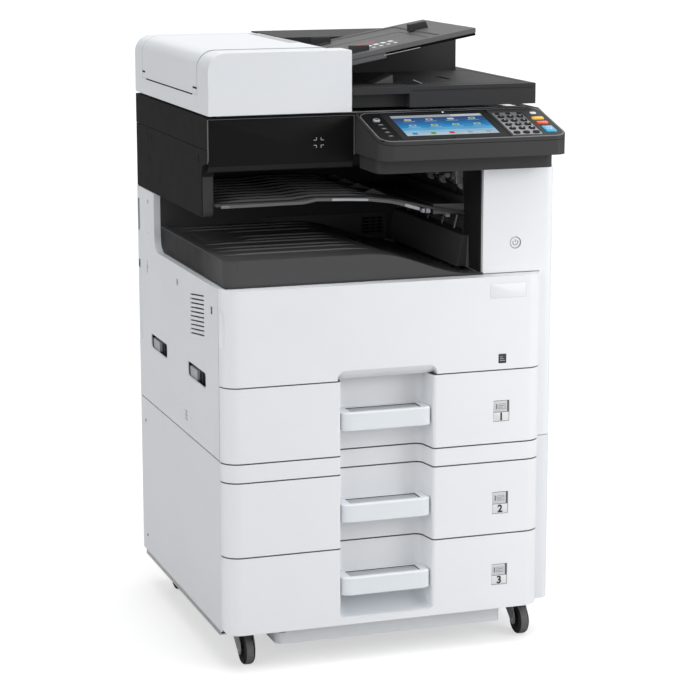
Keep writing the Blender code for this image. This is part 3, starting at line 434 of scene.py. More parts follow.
def both_ends(profile):
    """A profile given from one end to the middle, followed by its mirror image."""
    return profile + [(radius, -height) for radius, height in reversed(profile)]


def ring(centre, axis, radius, thick, sides=40, around=8):
    """Torus of a small section."""
    profile = [(radius + thick * cos(a), thick * sin(a))
               for a in (2 * pi * i / around for i in range(around + 1))]
    bm = turned(profile, centre, axis, sides)
    bmesh.ops.remove_doubles(bm, verts=bm.verts, dist=1e-6)
    return bm


def path_bar(points, wide, thick, normal):
    """Flat bar along a chain of points, lying square to a normal."""
    normal = Vector(normal).normalized()
    points = [Vector(p) for p in points]
    rings = []
    for i, p in enumerate(points):
        ahead = points[min(i + 1, len(points) - 1)] - points[max(i - 1, 0)]
        side = ahead.normalized().cross(normal).normalized() * wide / 2
        rings.append([p - side, p + side, p + side + normal * thick, p - side + normal * thick])
    return loft(rings)


def merge(*parts):
    """One bmesh of several separate shells."""
    whole = bmesh.new()
    for part in parts:
        mesh = bpy.data.meshes.new("part")
        part.to_mesh(mesh)
        part.free()
        whole.from_mesh(mesh)
        bpy.data.meshes.remove(mesh)
    return whole


def moved(bm, matrix):
    bmesh.ops.transform(bm, matrix=matrix, verts=bm.verts)
    return bm


def turned_about(bm, point, axis, angle):
    point = Vector(point)
    return moved(bm, Matrix.Translation(point) @ Matrix.Rotation(radians(angle), 4, axis)
                 @ Matrix.Translation(-point))


def flat(bm, angle=0.5):
    """Merge coplanar faces so that only true edges are left."""
    bmesh.ops.remove_doubles(bm, verts=bm.verts, dist=3e-6)
    bmesh.ops.dissolve_limit(bm, angle_limit=radians(angle), verts=bm.verts, edges=bm.edges)
    return bm


def cad(*names):
    """Clean bmesh of CAD nodes, from the machine's corner, with flat faces merged."""
    bm = bmesh.new()
    for name in names:
        bm.from_mesh(NODES[name].data)
    bmesh.ops.translate(bm, vec=-CORNER, verts=bm.verts)
    return flat(bm)


def temporary(bm):
    bmesh.ops.recalc_face_normals(bm, faces=bm.faces)
    mesh = bpy.data.meshes.new("scratch")
    bm.to_mesh(mesh)
    bm.free()
    thing = bpy.data.objects.new("scratch", mesh)
    bpy.context.scene.collection.objects.link(thing)
    return thing


def carved(bm, *tools, operation="DIFFERENCE"):
    """Boolean of a bmesh with others, all closed."""
    target = temporary(bm)
    helpers = [temporary(tool) for tool in tools]
    for helper in helpers:
        step = target.modifiers.new("carve", "BOOLEAN")
        step.operation, step.solver, step.object = operation, "EXACT", helper
    made = bmesh.new()
    made.from_object(target, bpy.context.evaluated_depsgraph_get())
    for thing in [target, *helpers]:
        mesh = thing.data
        bpy.data.objects.remove(thing)
        bpy.data.meshes.remove(mesh)
    return flat(made)


def joined(bm, *others):
    return carved(bm, *others, operation="UNION")


def piece(name, bm, finish, body, soften=0.0, steps=2, above=30, crease=38, replaces=()):
    """Object from a bmesh, softened at its sharp edges, that rides on a CAD body."""
    bmesh.ops.translate(bm, vec=CORNER, verts=bm.verts)
    bmesh.ops.recalc_face_normals(bm, faces=bm.faces)
    mesh = bpy.data.meshes.new(name)
    bm.to_mesh(mesh)
    bm.free()
    mesh.shade_smooth()
    mesh.set_sharp_from_angle(angle=radians(crease))
    thing = bpy.data.objects.new(name, mesh)
    bpy.context.scene.collection.objects.link(thing)
    mesh.materials.append(FINISHES[finish])
    if soften:
        edge = thing.modifiers.new("soft_edges", "BEVEL")
        edge.width, edge.segments = soften, steps
        edge.limit_method, edge.angle_limit = "ANGLE", radians(above)
        level = thing.modifiers.new("level_shading", "WEIGHTED_NORMAL")
        level.keep_sharp = False
    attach(thing, body)
    if replaces:
        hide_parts(*replaces)
    return thing


def body_of(node):
    return NODES[node]["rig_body"]


def refine(node, finish, soften=0.0008, steps=2, bm=None, name=None, above=30):
    """Piece that stands for a CAD node: its own shape, or a given one, with softened edges."""
    bm = bm or cad(node)
    return piece(name or f"{node}_moulding", bm, finish, body_of(node), soften, steps, above,
                 replaces=(node,))


def lathe_screw(name, centre, axis, radius, finish, body):
    """Screw head with a crossed drive."""
    high = radius * 0.45
    profile = [(0, -radius), (radius * 0.9, -radius), (radius, 0), (radius, high * 0.5),
               (radius * 0.7, high * 0.95), (0, high)]
    bm = turned(profile, centre, axis, 20)
    turn = Vector((0, 0, 1)).rotation_difference(Vector(axis)).to_matrix().to_4x4()
    place = Matrix.Translation(Vector(centre)) @ turn
    a, b = radius * 0.55, radius * 0.13
    bars = [moved(box(x, y, (high * 0.35, high * 2)), place) for x, y in
            (((-a, a), (-b, b)), ((-b, b), (-a, a)))]
    return piece(name, carved(bm, *bars), finish, body)


def glyph(text, size, thick, bold=0.0):
    """Raised sans-serif digit, centred on the origin, facing +z."""
    curve = bpy.data.curves.new("glyph", "FONT")
    curve.body, curve.size = text, size
    curve.align_x, curve.align_y = "CENTER", "CENTER"
    curve.extrude, curve.offset = thick / 2, size * 0.012 + bold
    thing = bpy.data.objects.new("glyph", curve)
    bpy.context.scene.collection.objects.link(thing)
    bm = bmesh.new()
    mesh = thing.to_mesh(depsgraph=bpy.context.evaluated_depsgraph_get())
    bm.from_mesh(mesh)
    thing.to_mesh_clear()
    bpy.data.objects.remove(thing)
    bpy.data.curves.remove(curve)
    bmesh.ops.remove_doubles(bm, verts=bm.verts, dist=1e-6)
    return bm


def on_front(bm, x, z, y):
    """Stand a flat figure drawn in x, y, facing +z, on an upright face that looks to the front."""
    return moved(bm, Matrix.Translation((x, y, z)) @ Matrix.Rotation(radians(90), 4, "X"))


# ---- camera, light and floor ---------------------------------------------------------------------
def make_camera():
    data = bpy.data.cameras.new("camera")
    data.lens, data.sensor_width = 117.503, 36.0
    data.clip_start, data.clip_end = 0.05, 60.0
    camera = bpy.data.objects.new("camera", data)
    bpy.context.scene.collection.objects.link(camera)
    heading, pitch = radians(19.004), radians(11.606)
    ahead = Vector((sin(heading) * cos(pitch), cos(heading) * cos(pitch), -sin(pitch)))
    camera.location = (-1.28003, -3.74108, 1.297)
    camera.rotation_euler = ahead.to_track_quat("-Z", "Y").to_euler()
    bpy.context.scene.camera = camera


def sun(name, towards, strength, spread):
    """Very soft directional light; the machine sees it in the direction given."""
    data = bpy.data.lights.new(name, "SUN")
    data.energy, data.angle = strength, radians(spread)
    lamp = bpy.data.objects.new(name, data)
    bpy.context.scene.collection.objects.link(lamp)
    lamp.rotation_euler = (-Vector(towards)).to_track_quat("-Z", "Y").to_euler()


def softbox(name, place, aim, size, power):
    data = bpy.data.lights.new(name, "AREA")
    data.shape, data.size, data.size_y = "RECTANGLE", size[0], size[1]
    data.energy = power
    lamp = bpy.data.objects.new(name, data)
    bpy.context.scene.collection.objects.link(lamp)
    lamp.location = place
    lamp.rotation_euler = (Vector(aim) - Vector(place)).to_track_quat("-Z", "Y").to_euler()


WORLD_LIGHT, FLOOR_LIFT = 0.44, 0.55


def make_world():
    """White backdrop for the eye, a dimmer studio, darkest behind, for everything that it lights."""
    world = bpy.data.worlds.new("studio")
    bpy.context.scene.world = world
    world.use_nodes = True
    tree = world.node_tree
    tree.nodes.clear()
    seen, lighting = (tree.nodes.new("ShaderNodeBackground") for _ in range(2))
    seen.inputs["Color"].default_value = (1, 1, 1, 1)
    seen.inputs["Strength"].default_value = 1.0
    lighting.inputs["Strength"].default_value = WORLD_LIGHT
    path, mix = tree.nodes.new("ShaderNodeLightPath"), tree.nodes.new("ShaderNodeMixShader")
    place, split = tree.nodes.new("ShaderNodeTexCoord"), tree.nodes.new("ShaderNodeSeparateXYZ")
    fade = tree.nodes.new("ShaderNodeMapRange")
    for key, value in (("From Min", -0.15), ("From Max", 0.65), ("To Min", 1.0), ("To Max", 0.30)):
        fade.inputs[key].default_value = value
    out = tree.nodes.new("ShaderNodeOutputWorld")
    for a, b in ((place.outputs["Generated"], split.inputs[0]), (split.outputs["Y"], fade.inputs["Value"]),
                 (fade.outputs["Result"], lighting.inputs["Color"]),
                 (path.outputs["Is Camera Ray"], mix.inputs[0]), (lighting.outputs[0], mix.inputs[1]),
                 (seen.outputs[0], mix.inputs[2]), (mix.outputs[0], out.inputs[0])):
        tree.links.new(a, b)


def make_floor():
    bm = bmesh.new()
    reach = 60.0
    bm.faces.new([bm.verts.new(p) for p in ((-reach, -reach, 0), (reach, -reach, 0),
                                           (reach, reach, 0), (-reach, reach, 0))])
    mesh = bpy.data.meshes.new("floor")
    bm.to_mesh(mesh)
    bm.free()
    floor = bpy.data.objects.new("floor", mesh)
    bpy.context.scene.collection.objects.link(floor)
    finish = Finish("studio_floor", specular=0.0)
    tone = finish.mix(finish.ranged(finish.noise(1.5, 3.0), 0, 1), (0.50, 0.50, 0.50, 1),
                      (0.53, 0.53, 0.53, 1))
    mesh.materials.append(finish.set(tone, finish.ranged(finish.noise(6), 0.75, 0.9)))
    lift, both, pick = (finish.node(f"ShaderNode{kind}") for kind in ("Emission", "AddShader", "MixShader"))
    lift.inputs["Strength"].default_value = FLOOR_LIFT
    finish.link(finish.shader.outputs[0], both.inputs[0])
    finish.link(lift.outputs[0], both.inputs[1])
    finish.link(finish.node("ShaderNodeLightPath").outputs["Is Camera Ray"], pick.inputs[0])
    finish.link(finish.shader.outputs[0], pick.inputs[1])
    finish.link(both.outputs[0], pick.inputs[2])
    finish.link(pick.outputs[0], finish.tree.nodes["Material Output"].inputs["Surface"])


bpy.context.scene.view_settings.view_transform = "Standard"
make_camera()
make_world()
make_floor()
sun("key", (0.35, -0.75, 0.50), 0.27, 60)
sun("low_front", (0.20, -1.0, 0.20), 0.08, 60)
sun("fill_left", (-0.8, -0.3, 0.3), 1.04, 60)
sun("top", (0.05, -0.1, 1.0), 1.55, 50)
sun("fill_back", (0.4, 0.8, 0.5), 0.8, 60)
softbox("right_front", (1.25, -1.15, 0.95), (0.30, -0.20, 0.66), (0.8, 1.0), 10)


# ---- faces that pieces are laid on ---------------------------------------------------------------
PANEL_NORMAL = Vector((0, -PANEL_SLOPE, 1)).normalized()
TRAY_NORMAL = Vector((-TRAY_RISE, 0, 1)).normalized()


def on_panel(bm):
    """Lay a flat figure, drawn in x, y and height, on the sloping operation panel."""
    for vert in bm.verts:
        x, y, rise = vert.co
        vert.co = Vector((x, y, SCANNER_TOP + PANEL_SLOPE * (y - SCAN_Y0))) + PANEL_NORMAL * rise
    return bm


def on_tray(bm):
    """Lay a flat figure, drawn in x, y and height, on the original tray."""
    for vert in bm.verts:
        x, y, rise = vert.co
        vert.co = Vector((x, y, TRAY_TIP[1] + TRAY_RISE * (x - TRAY_TIP[0]))) + TRAY_NORMAL * rise
    return bm


def on_left(bm, y, z, x=0.0):
    """Stand a flat figure on a face that looks to the left."""
    for vert in bm.verts:
        a, b, rise = vert.co
        vert.co = Vector((x - rise, y + a, z + b))
    return bm


def cushion(x, y, radius, low, high, inset):
    """Plate with rounded corners whose upper edge rolls over."""
    rings = []
    for height, s in ((low, 0), (high - inset, 0), (high - inset * 0.35, inset * 0.3), (high, inset)):
        rings.append([(a, b, height) for a, b in
                      rounded((x[0] + s, x[1] - s), (y[0] + s, y[1] - s), max(radius - s, 0.0001), 4)])
    return loft(rings)


def around(centre, size):
    return (centre - size / 2, centre + size / 2)


def frame_skin(rings):
    """Skin over rings of equally many points, the last joined to the first."""
    bm = bmesh.new()
    rows = [[bm.verts.new(p) for p in line] for line in rings]
    for near, far in zip(rows, rows[1:] + rows[:1]):
        for i in range(len(near)):
            j = (i + 1) % len(near)
            bm.faces.new((near[i], near[j], far[j], far[i]))
    return bm


def rim(x, y, radius, wide, low, high, steps=5):
    """Flat frame with rounded corners."""
    outer = rounded(x, y, radius, steps)
    inner = rounded((x[0] + wide, x[1] - wide), (y[0] + wide, y[1] - wide),
                    max(radius - wide, 0.0001), steps)
    return frame_skin([[(a, b, h) for a, b in line]
                       for line, h in ((outer, low), (outer, high), (inner, high), (inner, low))])


# ---- fronts --------------------------------------------------------------------------------------
LABEL_X = (0.4733, 0.5021)
LABEL_Z = {1: (0.3987, 0.4353), 2: (0.2366, 0.2756), 3: (0.1103, 0.1477)}
LABEL_DEEP = 0.0016                           # depth of the label pocket
CHANNEL_FLOOR = 0.080                         # closed lower end of the grip channel
SEAM = 0.0013                                 # dark line painted along the top of each front as the shade in the gap above it
SEAM_DEEP = 0.0007                            # how far that line is sunk


def seamed(name, body, *tools):
    """Front whose top edge is a slightly sunken line, painted dark as the shade in the gap above it."""
    low, high = node_box(name)
    slab = ((low.x - 0.01, high.x + 0.01), (low.y - 0.01, high.y + 0.01), (high.z - SEAM, high.z + 0.001))
    # the sunken slab is painted dark as the shade of the gap between fronts
    line = carved(cad(name), box(slab[0], slab[1], (high.z - SEAM, high.z - 0.0001)), operation="INTERSECT")
    shrink = Matrix.Diagonal((1 - 2 * SEAM_DEEP / (high.x - low.x), 1, 1, 1))
    middle = Vector(((low.x + high.x) / 2, 0, 0))
    moved(line, Matrix.Translation(middle + Vector((0, SEAM_DEEP,
                                                    0))) @ shrink @ Matrix.Translation(-middle))
    piece(f"{name}_seam", line, "seam", body)
    refine(name, "white", 0.0006, bm=carved(cad(name), box(*slab), *tools))


def lower_corners():
    """Cutters that round the two lower corners of the lowest front."""
    low, high = node_box("drawer_3_front")
    r, tools = 0.010, []
    for x, side, last in ((low.x, 1, 180), (high.x, -1, 360)):
        cx, cz = x + side * r, low.z + r
        bend = arc((cx, cz), r, 270, last, 10)
        outline = [(x - side * 0.002, low.z - 0.002), (cx, low.z - 0.002)] + bend + [(x - side * 0.002, cz)]
        tools.append(prism(outline, (low.y - 0.01, high.y + 0.01), "y"))
    return tools


def drawer_front(number):
    name = f"drawer_{number}_front"
    z = LABEL_Z[number]
    pocket = prism(rounded(LABEL_X, z, 0.0008), (FACE_Y - 0.01, FACE_Y + LABEL_DEEP), "y")
    seamed(name, f"drawer_{number}", pocket, *(lower_corners() if number == 3 else ()))
    body, split = f"drawer_{number}", z[0] + (z[1] - z[0]) * 0.44
    middle, bed = sum(LABEL_X) / 2, FACE_Y + LABEL_DEEP - GAP
    # dark sheet at the back of the label pocket, painted as the pocket's shade
    shadow = box((LABEL_X[0] + GAP, LABEL_X[1] - GAP), (bed - 0.0001, bed), (z[0] + GAP, z[1] - GAP))
    piece(f"label_pocket_shade_{number}", shadow, "seam", body)
    card = on_front(cushion((LABEL_X[0] + 0.0004, LABEL_X[1] - 0.0040), (split + 0.0010, z[1] - 0.0009),
                            0.0003, 0, 0.0006, 0.0001), 0, 0, bed - 0.0001)
    piece(f"label_card_{number}", card, "card_pale", body)
    plate = on_front(cushion((LABEL_X[0] + 0.0004, LABEL_X[1] - 0.0012), (z[0] + 0.0012, split), 0.0005, 0,
                             0.0014, 0.0002), 0, 0, bed - 0.0001)
    piece(f"label_plate_{number}", plate, "print_white", body)
    digit = on_front(glyph(str(number), 0.0182, 0.0003, 0.00042),
                     middle - 0.0006, (z[0] + split) / 2 + 0.0002,
                     bed - 0.0016)
    piece(f"label_digit_{number}", digit, "print_dark", body)
    sheet_x, sheet_z = middle + 0.0010, (split + z[1]) / 2
    icon = [on_front(rim((-0.0058, 0.0062), (-0.0044, 0.0046), 0.0005, 0.0007, 0, 0.0003),
                     sheet_x, sheet_z, bed - 0.0007)]
    for wide, tall, radius, right, up in (((-0.0038, 0.0040), (-0.0005, 0.0005), 0.0002, 0, 0.0014),
                                          ((-0.0038, 0.0020), (-0.0005, 0.0005), 0.0002, 0, -0.0014),
                                          ((-0.0012, 0.0012), (-0.0044, 0.0046), 0.0003, -0.0098, 0)):
        icon.append(on_front(cushion(wide, tall, radius, 0, 0.0003, 0.0001),
                             sheet_x + right, sheet_z + up, bed - 0.0007))
    piece(f"label_sheet_{number}", merge(*icon), "mid_grey", body)


def drawer_handle(number):
    """Grip bar with a rolled front edge, a grey inset in its finger well and painted shade in the gap round
    the inset.
    """
    name, body = f"drawer_{number}_handle", f"drawer_{number}"
    low, high = node_box(name)
    x0, x1 = low.x - 0.0014, high.x + 0.0014
    bend, roll = (0.0190, 0.0105), 0.0030
    rings = []
    for s, z in [(0.0012, low.z), (0, low.z + 0.0012)] + [
            (roll * (1 - cos(t)), high.z - roll * (1 - sin(t))) for t in (pi * k / 12 for k in range(7))]:
        left = [(x0 + s + (bend[0] - s) * (1 - cos(t)), low.y + s + (bend[1] - s) * (1 - sin(t)))
                for t in (pi * k / 16 for k in range(9))]
        right = [(x0 + x1 - a, b) for a, b in left][::-1]
        rings.append([(a, b, z) for a, b in [(x0 + s, high.y)] + left + right + [(x1 - s, high.y)]])
    well_x, well_y = (low.x + 0.0143, high.x - 0.0143), (low.y + 0.0085, high.y - 0.0076)
    bed = low.z + 0.0220
    hook = box((low.x + 0.0100, high.x - 0.0100), (low.y + 0.0060, high.y + 0.01),
               (low.z - 0.01, low.z + 0.0180))
    well = box(well_x, well_y, (bed, high.z + 0.01))
    refine(name, "handle", 0.0004, 2, bm=carved(loft(rings), hook, well))
    flap = cushion((well_x[0] + 0.0002, well_x[1] - 0.0010),
                   (well_y[0] + 0.0002, well_y[1] - 0.0010), 0.0010,
                   bed + 0.0001, high.z - 0.0014, 0.0003)
    piece(f"handle_flap_{number}", flap, "flap", body)
    # thin dark strips painted as the shade in the gap behind and right of the flap
    gap = merge(box((well_x[0] + GAP, well_x[1] - GAP), (well_y[1] - 0.0005, well_y[1] - 0.0001),
                    (bed + 0.0001, high.z - 0.0005)),
                box((well_x[1] - 0.0005, well_x[1] - 0.0001), (well_y[0] + GAP, well_y[1] - 0.0006),
                    (bed + 0.0001, high.z - 0.0005)))
    piece(f"handle_gap_shade_{number}", gap, "seam", body)


def channel_toe():
    """Concave ramp with round corners at the closed lower end of the grip channel, in a white painted
    darker as the handle's shade.
    """
    front, back = FACE_Y + 0.0006, FACE_Y + 0.0466
    wide = (CHANNEL_X[0] + 0.0012, CHANNEL_X[1] - 0.0012)
    block = box(wide, (front, back), (CHANNEL_FLOOR - 0.0004, CHANNEL_FLOOR + 0.034))
    rings = []
    for i in range(9):
        share = i / 8
        rise, r = 0.0002 + 0.0300 * share ** 2.4, 0.013 + 0.012 * share
        y = front - 0.0005 + (back - front + 0.001) * share
        inset = 0.0006 + 0.0040 * share
        x0, x1 = wide[0] + inset, wide[1] - inset
        z0, z1 = CHANNEL_FLOOR + rise, CHANNEL_FLOOR + 0.080
        outline = arc((x0 + r, z0 + r), r, 180, 270, 8) + arc((x1 - r, z0 + r), r, 270, 360, 8)
        rings.append([(a, y, b) for a, b in outline + [(x1, z1), (x0, z1)]])
    # the ramp's darker white is painted shade from the handle above
    piece("channel_toe", carved(block, loft(rings)), "toe_painted_shade", "drawer_3")
    opening = prism(rounded((wide[0] + 0.0006, wide[1] - 0.0006),
                            (CHANNEL_FLOOR + 0.0004, CHANNEL_FLOOR + 0.08),
                            0.0125, 8), (front - 0.01, front + 0.02), "y")
    corners = carved(box(wide, (front - 0.0004, front + 0.0050),
                         (CHANNEL_FLOOR - 0.0002, CHANNEL_FLOOR + 0.0125)),
                     opening)
    piece("channel_corners", corners, "white", "drawer_3", 0.0008)


def front_cover():
    """Front cover with a scooped lower edge, a finger recess, a name plate and a small mark."""
    z0, z1 = COVER_Z
    skin, rise, corner = 0.003, 0.0165, 0.014
    left = arc((0.030, 0), 0.030, 180, 270, 12)
    left[0] = (0, -0.002)
    right = [(0.565 - x, y) for x, y in left][::-1]
    cover = prism(left + right, (z0, z1), "z")
    inside = arc((0.030, 0), 0.027, 180, 270, 8)
    inside = [(skin, 0.01), *inside, *[(0.565 - x, y) for x, y in inside][::-1], (0.565 - skin, 0.01)]
    hollow = prism(inside, (z0 + rise + skin, z1 - skin), "z")
    rings = []
    for y, high in ((FACE_Y - 0.001, rise), (FACE_Y, rise), (FACE_Y + 0.004, rise * 0.62),
                    (FACE_Y + 0.009, rise * 0.30), (FACE_Y + 0.017, 0.0004)):
        r = min(corner, high * 0.85)
        outline = [(CHANNEL_X[0], z0 - 0.003), (CHANNEL_X[1], z0 - 0.003)]
        outline += arc((CHANNEL_X[1] - r, z0 + high - r), r, 0, 90, 8)
        outline += arc((CHANNEL_X[0] + r, z0 + high - r), r, 90, 180, 8)
        rings.append([(a, y, b) for a, b in outline])
    turn = radians(203)
    globe = turned([(cos(radians(a)) if abs(a) < 90 else 0, sin(radians(a))) for a in range(-90, 91, 9)],
                   (0, 0, 0), (0, 0, 1), 40)
    grip = moved(globe, Matrix.Translation((0.030 + 0.030 * cos(turn), 0.030 * sin(turn), 0.585))
                 @ Matrix.Rotation(turn, 4, "Z") @ Matrix.Diagonal((0.0026, 0.0085, 0.0310, 1)))
    cover = carved(cover, hollow, loft(rings), grip)
    refine("front_cover", "white", 0.0010, bm=cover)
    outline = on_front(rim((0.4644, 0.5304), (0.6115, 0.6368), 0.0015, 0.0004, -0.0002, 0.00012), 0, 0,
                       FACE_Y)
    piece("name_plate_edge", outline, "card_pale", "front_door")
    plate = on_front(cushion((0.4649, 0.5299), (0.6120, 0.6363), 0.0012, -0.0002, 0.0003, 0.0001), 0, 0,
                     FACE_Y)
    piece("name_plate", plate, "white", "front_door")
    badge = on_front(cushion((0.4810, 0.4950), (0.5000, 0.5160), 0.0006, -0.0002, 0.0003, 0.0001), 0, 0,
                     FACE_Y)
    piece("cover_badge", badge, "print_dark", "front_door")
    bars = merge(*[on_front(cushion((0.4832, 0.4928 - 0.0022 * i), around(0.5045 + 0.0032 * i, 0.0011),
                                    0.0002, 0.0002, 0.0005, 0.0001), 0, 0, FACE_Y) for i in range(3)])
    piece("cover_badge_bars", bars, "paper_grey", "front_door")


def fronts():
    for number in (1, 2, 3):
        drawer_front(number)
        drawer_handle(number)
    seamed("feeder_front_strip", "main")
    channel_toe()
    front_cover()


# ---- outer covers --------------------------------------------------------------------------------
GRIPS = ((0.0797, 0.1968), (0.3355, 0.4522))
GRIP_Z = (0.4665, 0.4945)
SIDE_HOLES = ((0.4578, 0.732, 0.0045), (0.4701, 0.6117, 0.0045), (0.2576, 0.6184, 0.0064),
              (0.4624, 0.6749, 0.0020))       # screw wells: y, z, radius


def left_side():
    """Left cover with its seams, grips, screws, latch and socket, and the feeder's cover below."""
    z0 = node_box("main_left_cover")[0].z
    seam = [box((-0.001, 0.0016), around(0.5165, 0.0015), (0.4717, 0.734)),
            box((-0.001, 0.0016), (0.5165, 0.540), around(0.4717, 0.0015))]
    slots = [turned_about(box((-0.001, 0.0040), (0.2010, 0.2168), around(0.3880 + 0.0064 * i, 0.0031)),
                          (0, 0.2089, 0.3880 + 0.0064 * i), "X", 8) for i in range(3)]
    holes = [rod((-0.001, y, z), (0.0040, y, z), r, 24, 0.0001) for y, z, r in SIDE_HOLES]
    keyway = prism(rounded(around(0.4701, 0.0042), around(0.6117, 0.0230), 0.0018), (-0.001, 0.0040), "x")
    latch = box((-0.001, 0.0022), (0.5205, 0.5335), (0.6715, 0.7305))
    socket = box((-0.001, 0.0022), (0.5215, 0.5345), (0.6015, 0.6180))
    seam.append(box((-0.001, 0.0012), (-0.001, BACK + 0.001), (z0 - 0.001, z0 + 0.0010)))
    tick = [box((-0.001, 0.0009), around(0.0544, 0.0012), (0.600, 0.619)),
            box((-0.001, 0.0030), around(0.0394, 0.0110), (0.6015, 0.6140))]
    cover = carved(cad("main_left_cover"), *seam, *slots, *holes, keyway, latch, socket, *tick)
    refine("main_left_cover", "cool_white", 0.0007, bm=cover)
    # grey plates painted as the shade inside the screw wells, keyhole and tick; a black one as the shade
    # behind the slots
    hole_shades = [box((0.0034, 0.0040), around(y, 2.6 * r), around(z, 2.6 * r)) for y, z, r in SIDE_HOLES]
    hole_shades += [box((0.0034, 0.0040), around(0.4701, 0.012), around(0.6117, 0.028)),
                box((0.0026, 0.0032), around(0.0394, 0.0106), (0.6018, 0.6138)),
                box((0.0034, 0.0040), (0.197, 0.221), (0.383, 0.406))]
    piece("side_hole_shade", merge(*hole_shades[:-1]), "mid_grey", "main")
    piece("side_slot_shade", hole_shades[-1], "void", "main")
    low, high = node_box("main_left_cover")
    # dark strip painted as the shade in the seam groove
    strip = box((0.0003, 0.0012), (low.y + 0.0010, high.y - 0.0010), (z0 - 0.0001, z0 + 0.0009))
    piece("side_seam_line", strip, "seam", "main")
    for i, y in enumerate(GRIPS):
        inner = rounded((y[0] + 0.0018, y[1] - 0.0018), (GRIP_Z[0] + 0.0016, GRIP_Z[1] - 0.0016), 0.0062, 6)
        block = box((0.0003, 0.0026), (y[0] + 0.0002, y[1] - 0.0002),
                    (GRIP_Z[0] + 0.0002, GRIP_Z[1] - 0.0002))
        bezel = carved(block, prism(inner, (-0.01, 0.02), "x"))
        piece(f"grip_bezel_{i}", bezel, "cool_white", "main", 0.0007)
        well_y, well_z = (y[0] - 0.002, y[1] + 0.002), (GRIP_Z[0] - 0.002, GRIP_Z[1] + 0.002)
        shell = box((0.0032, 0.0118), well_y, well_z)
        cavity = box((0.0, 0.0108), (well_y[0] + 0.0012, well_y[1] - 0.0012),
                     (well_z[0] + 0.0012, well_z[1] - 0.0012))
        piece(f"grip_well_{i}", carved(shell, cavity), "soft_black", "main", 0.0005)
        back = [box((0.0098, 0.0107), (y[0] + 0.0031, y[0] + 0.042),
                    (GRIP_Z[0] - 0.0005, GRIP_Z[1] + 0.0005)),
                box((0.0072, 0.0107), (y[0] + 0.046, y[0] + 0.050),
                    (GRIP_Z[0] - 0.0005, GRIP_Z[1] + 0.0005)),
                box((0.0090, 0.0107), (y[0] + 0.054, y[0] + 0.071), around(sum(GRIP_Z) / 2 + 0.004, 0.004))]
        piece(f"grip_ribs_{i}", merge(*back), "charcoal", "main", 0.0004)
        shelf = box((0.0045, 0.0106), (y[1] - 0.045, y[1] - 0.001), (GRIP_Z[0] - 0.0006, GRIP_Z[1] - 0.010))
        piece(f"grip_shelf_{i}", shelf, "pale_grey", "main", 0.0010)
    for i, (y, z, r) in enumerate(SIDE_HOLES[:3]):
        lathe_screw(f"side_screw_{i}", (0.0028, y, z), (-1, 0, 0), min(0.6 * r, 0.0035),
                    "dark_steel", "main")
    plate = on_left(cushion((0.5216, 0.5326), (0.6722, 0.7298), 0.0010, -0.0018, -0.0003, 0.0004), 0, 0)
    piece("side_latch", plate, "mid_grey", "main")
    plug = merge(on_left(cushion((0.5231, 0.5339), (0.6031, 0.6164), 0.0008, -0.0020, -0.0008, 0.0003), 0,
                         0),
                 on_left(cushion((0.5255, 0.5315), (0.6070, 0.6125), 0.0006, -0.0010, 0.0001, 0.0003), 0,
                         0))
    piece("side_socket", plug, "charcoal", "main")
    # black sheet painted as the shade behind the vent
    veil = on_left(cushion((0.0842, 0.1738), (0.5475, 0.6240), 0.001, -0.0094, -0.0088, 0.0002), 0, 0)
    piece("vent_dark", veil, "void", "main")
    refine("feeder_left_cover", "cool_white", 0.0008)
    for i, z in enumerate((0.100, 0.320)):
        lathe_screw(f"feeder_screw_{i}", (0.0002, 0.500, z), (-1, 0, 0), 0.0030, "dark_steel", "main")


def back_side():
    """Rear covers with stiffening ribs, screws, the inlet and its label plate."""
    cover = cad("main_rear_cover")
    grooves = [box((0.030, 0.545), (BACK - 0.0008, BACK + 0.001),
                   around(z, 0.0014)) for z in (0.470, 0.655)]
    grooves += [box((0.050, 0.250), (BACK - 0.0010, BACK + 0.001), around(0.700 + 0.012 * i, 0.004))
                for i in range(8)]
    refine("main_rear_cover", "cool_white", 0.0007, bm=carved(cover, *grooves))
    low = cad("feeder_rear_cover")
    field = prism(rounded((0.060, 0.500), (0.110, 0.310), 0.012), (BACK - 0.0010, BACK + 0.001), "y")
    refine("feeder_rear_cover", "cool_white", 0.0007, bm=carved(low, field))
    spots = [(x, z) for z in (0.380, 0.650, 0.812) for x in (0.026, 0.550)]
    spots += [(x, z) for z in (0.082, 0.345) for x in (0.026, 0.548)]
    for i, (x, z) in enumerate(spots):
        lathe_screw(f"rear_screw_{i}", (x, BACK - 0.0011, z), (0, 1, 0), 0.0030, "dark_steel", "main")
    # dark sheet painted as the shade behind the rear vent
    veil = box((0.292, 0.468), (BACK - 0.0056, BACK - 0.0050), (0.552, 0.656))
    piece("rear_vent_dark", veil, "soft_black", "main")
    refine("power_inlet", "soft_black", 0.0004)
    plate = cushion((-0.030, 0.030), (-0.012, 0.012), 0.0015, -0.0002, 0.0003, 0.0001)
    plate = moved(plate, Matrix.Translation((0.180, BACK, 0.400)) @ Matrix.Rotation(radians(-90), 4, "X"))
    piece("rating_plate", plate, "paper_grey", "main")
    for i in range(2):
        port = joined(box((0.462, 0.490), (BACK - 0.0040, BACK + 0.0004),
                          (0.400 + 0.03 * i, 0.418 + 0.03 * i)),
                      box((0.464, 0.488), (BACK - 0.0045, BACK - 0.001),
                          (0.402 + 0.03 * i, 0.416 + 0.03 * i)))
        piece(f"rear_port_{i}", port, "charcoal", "main", 0.0004)


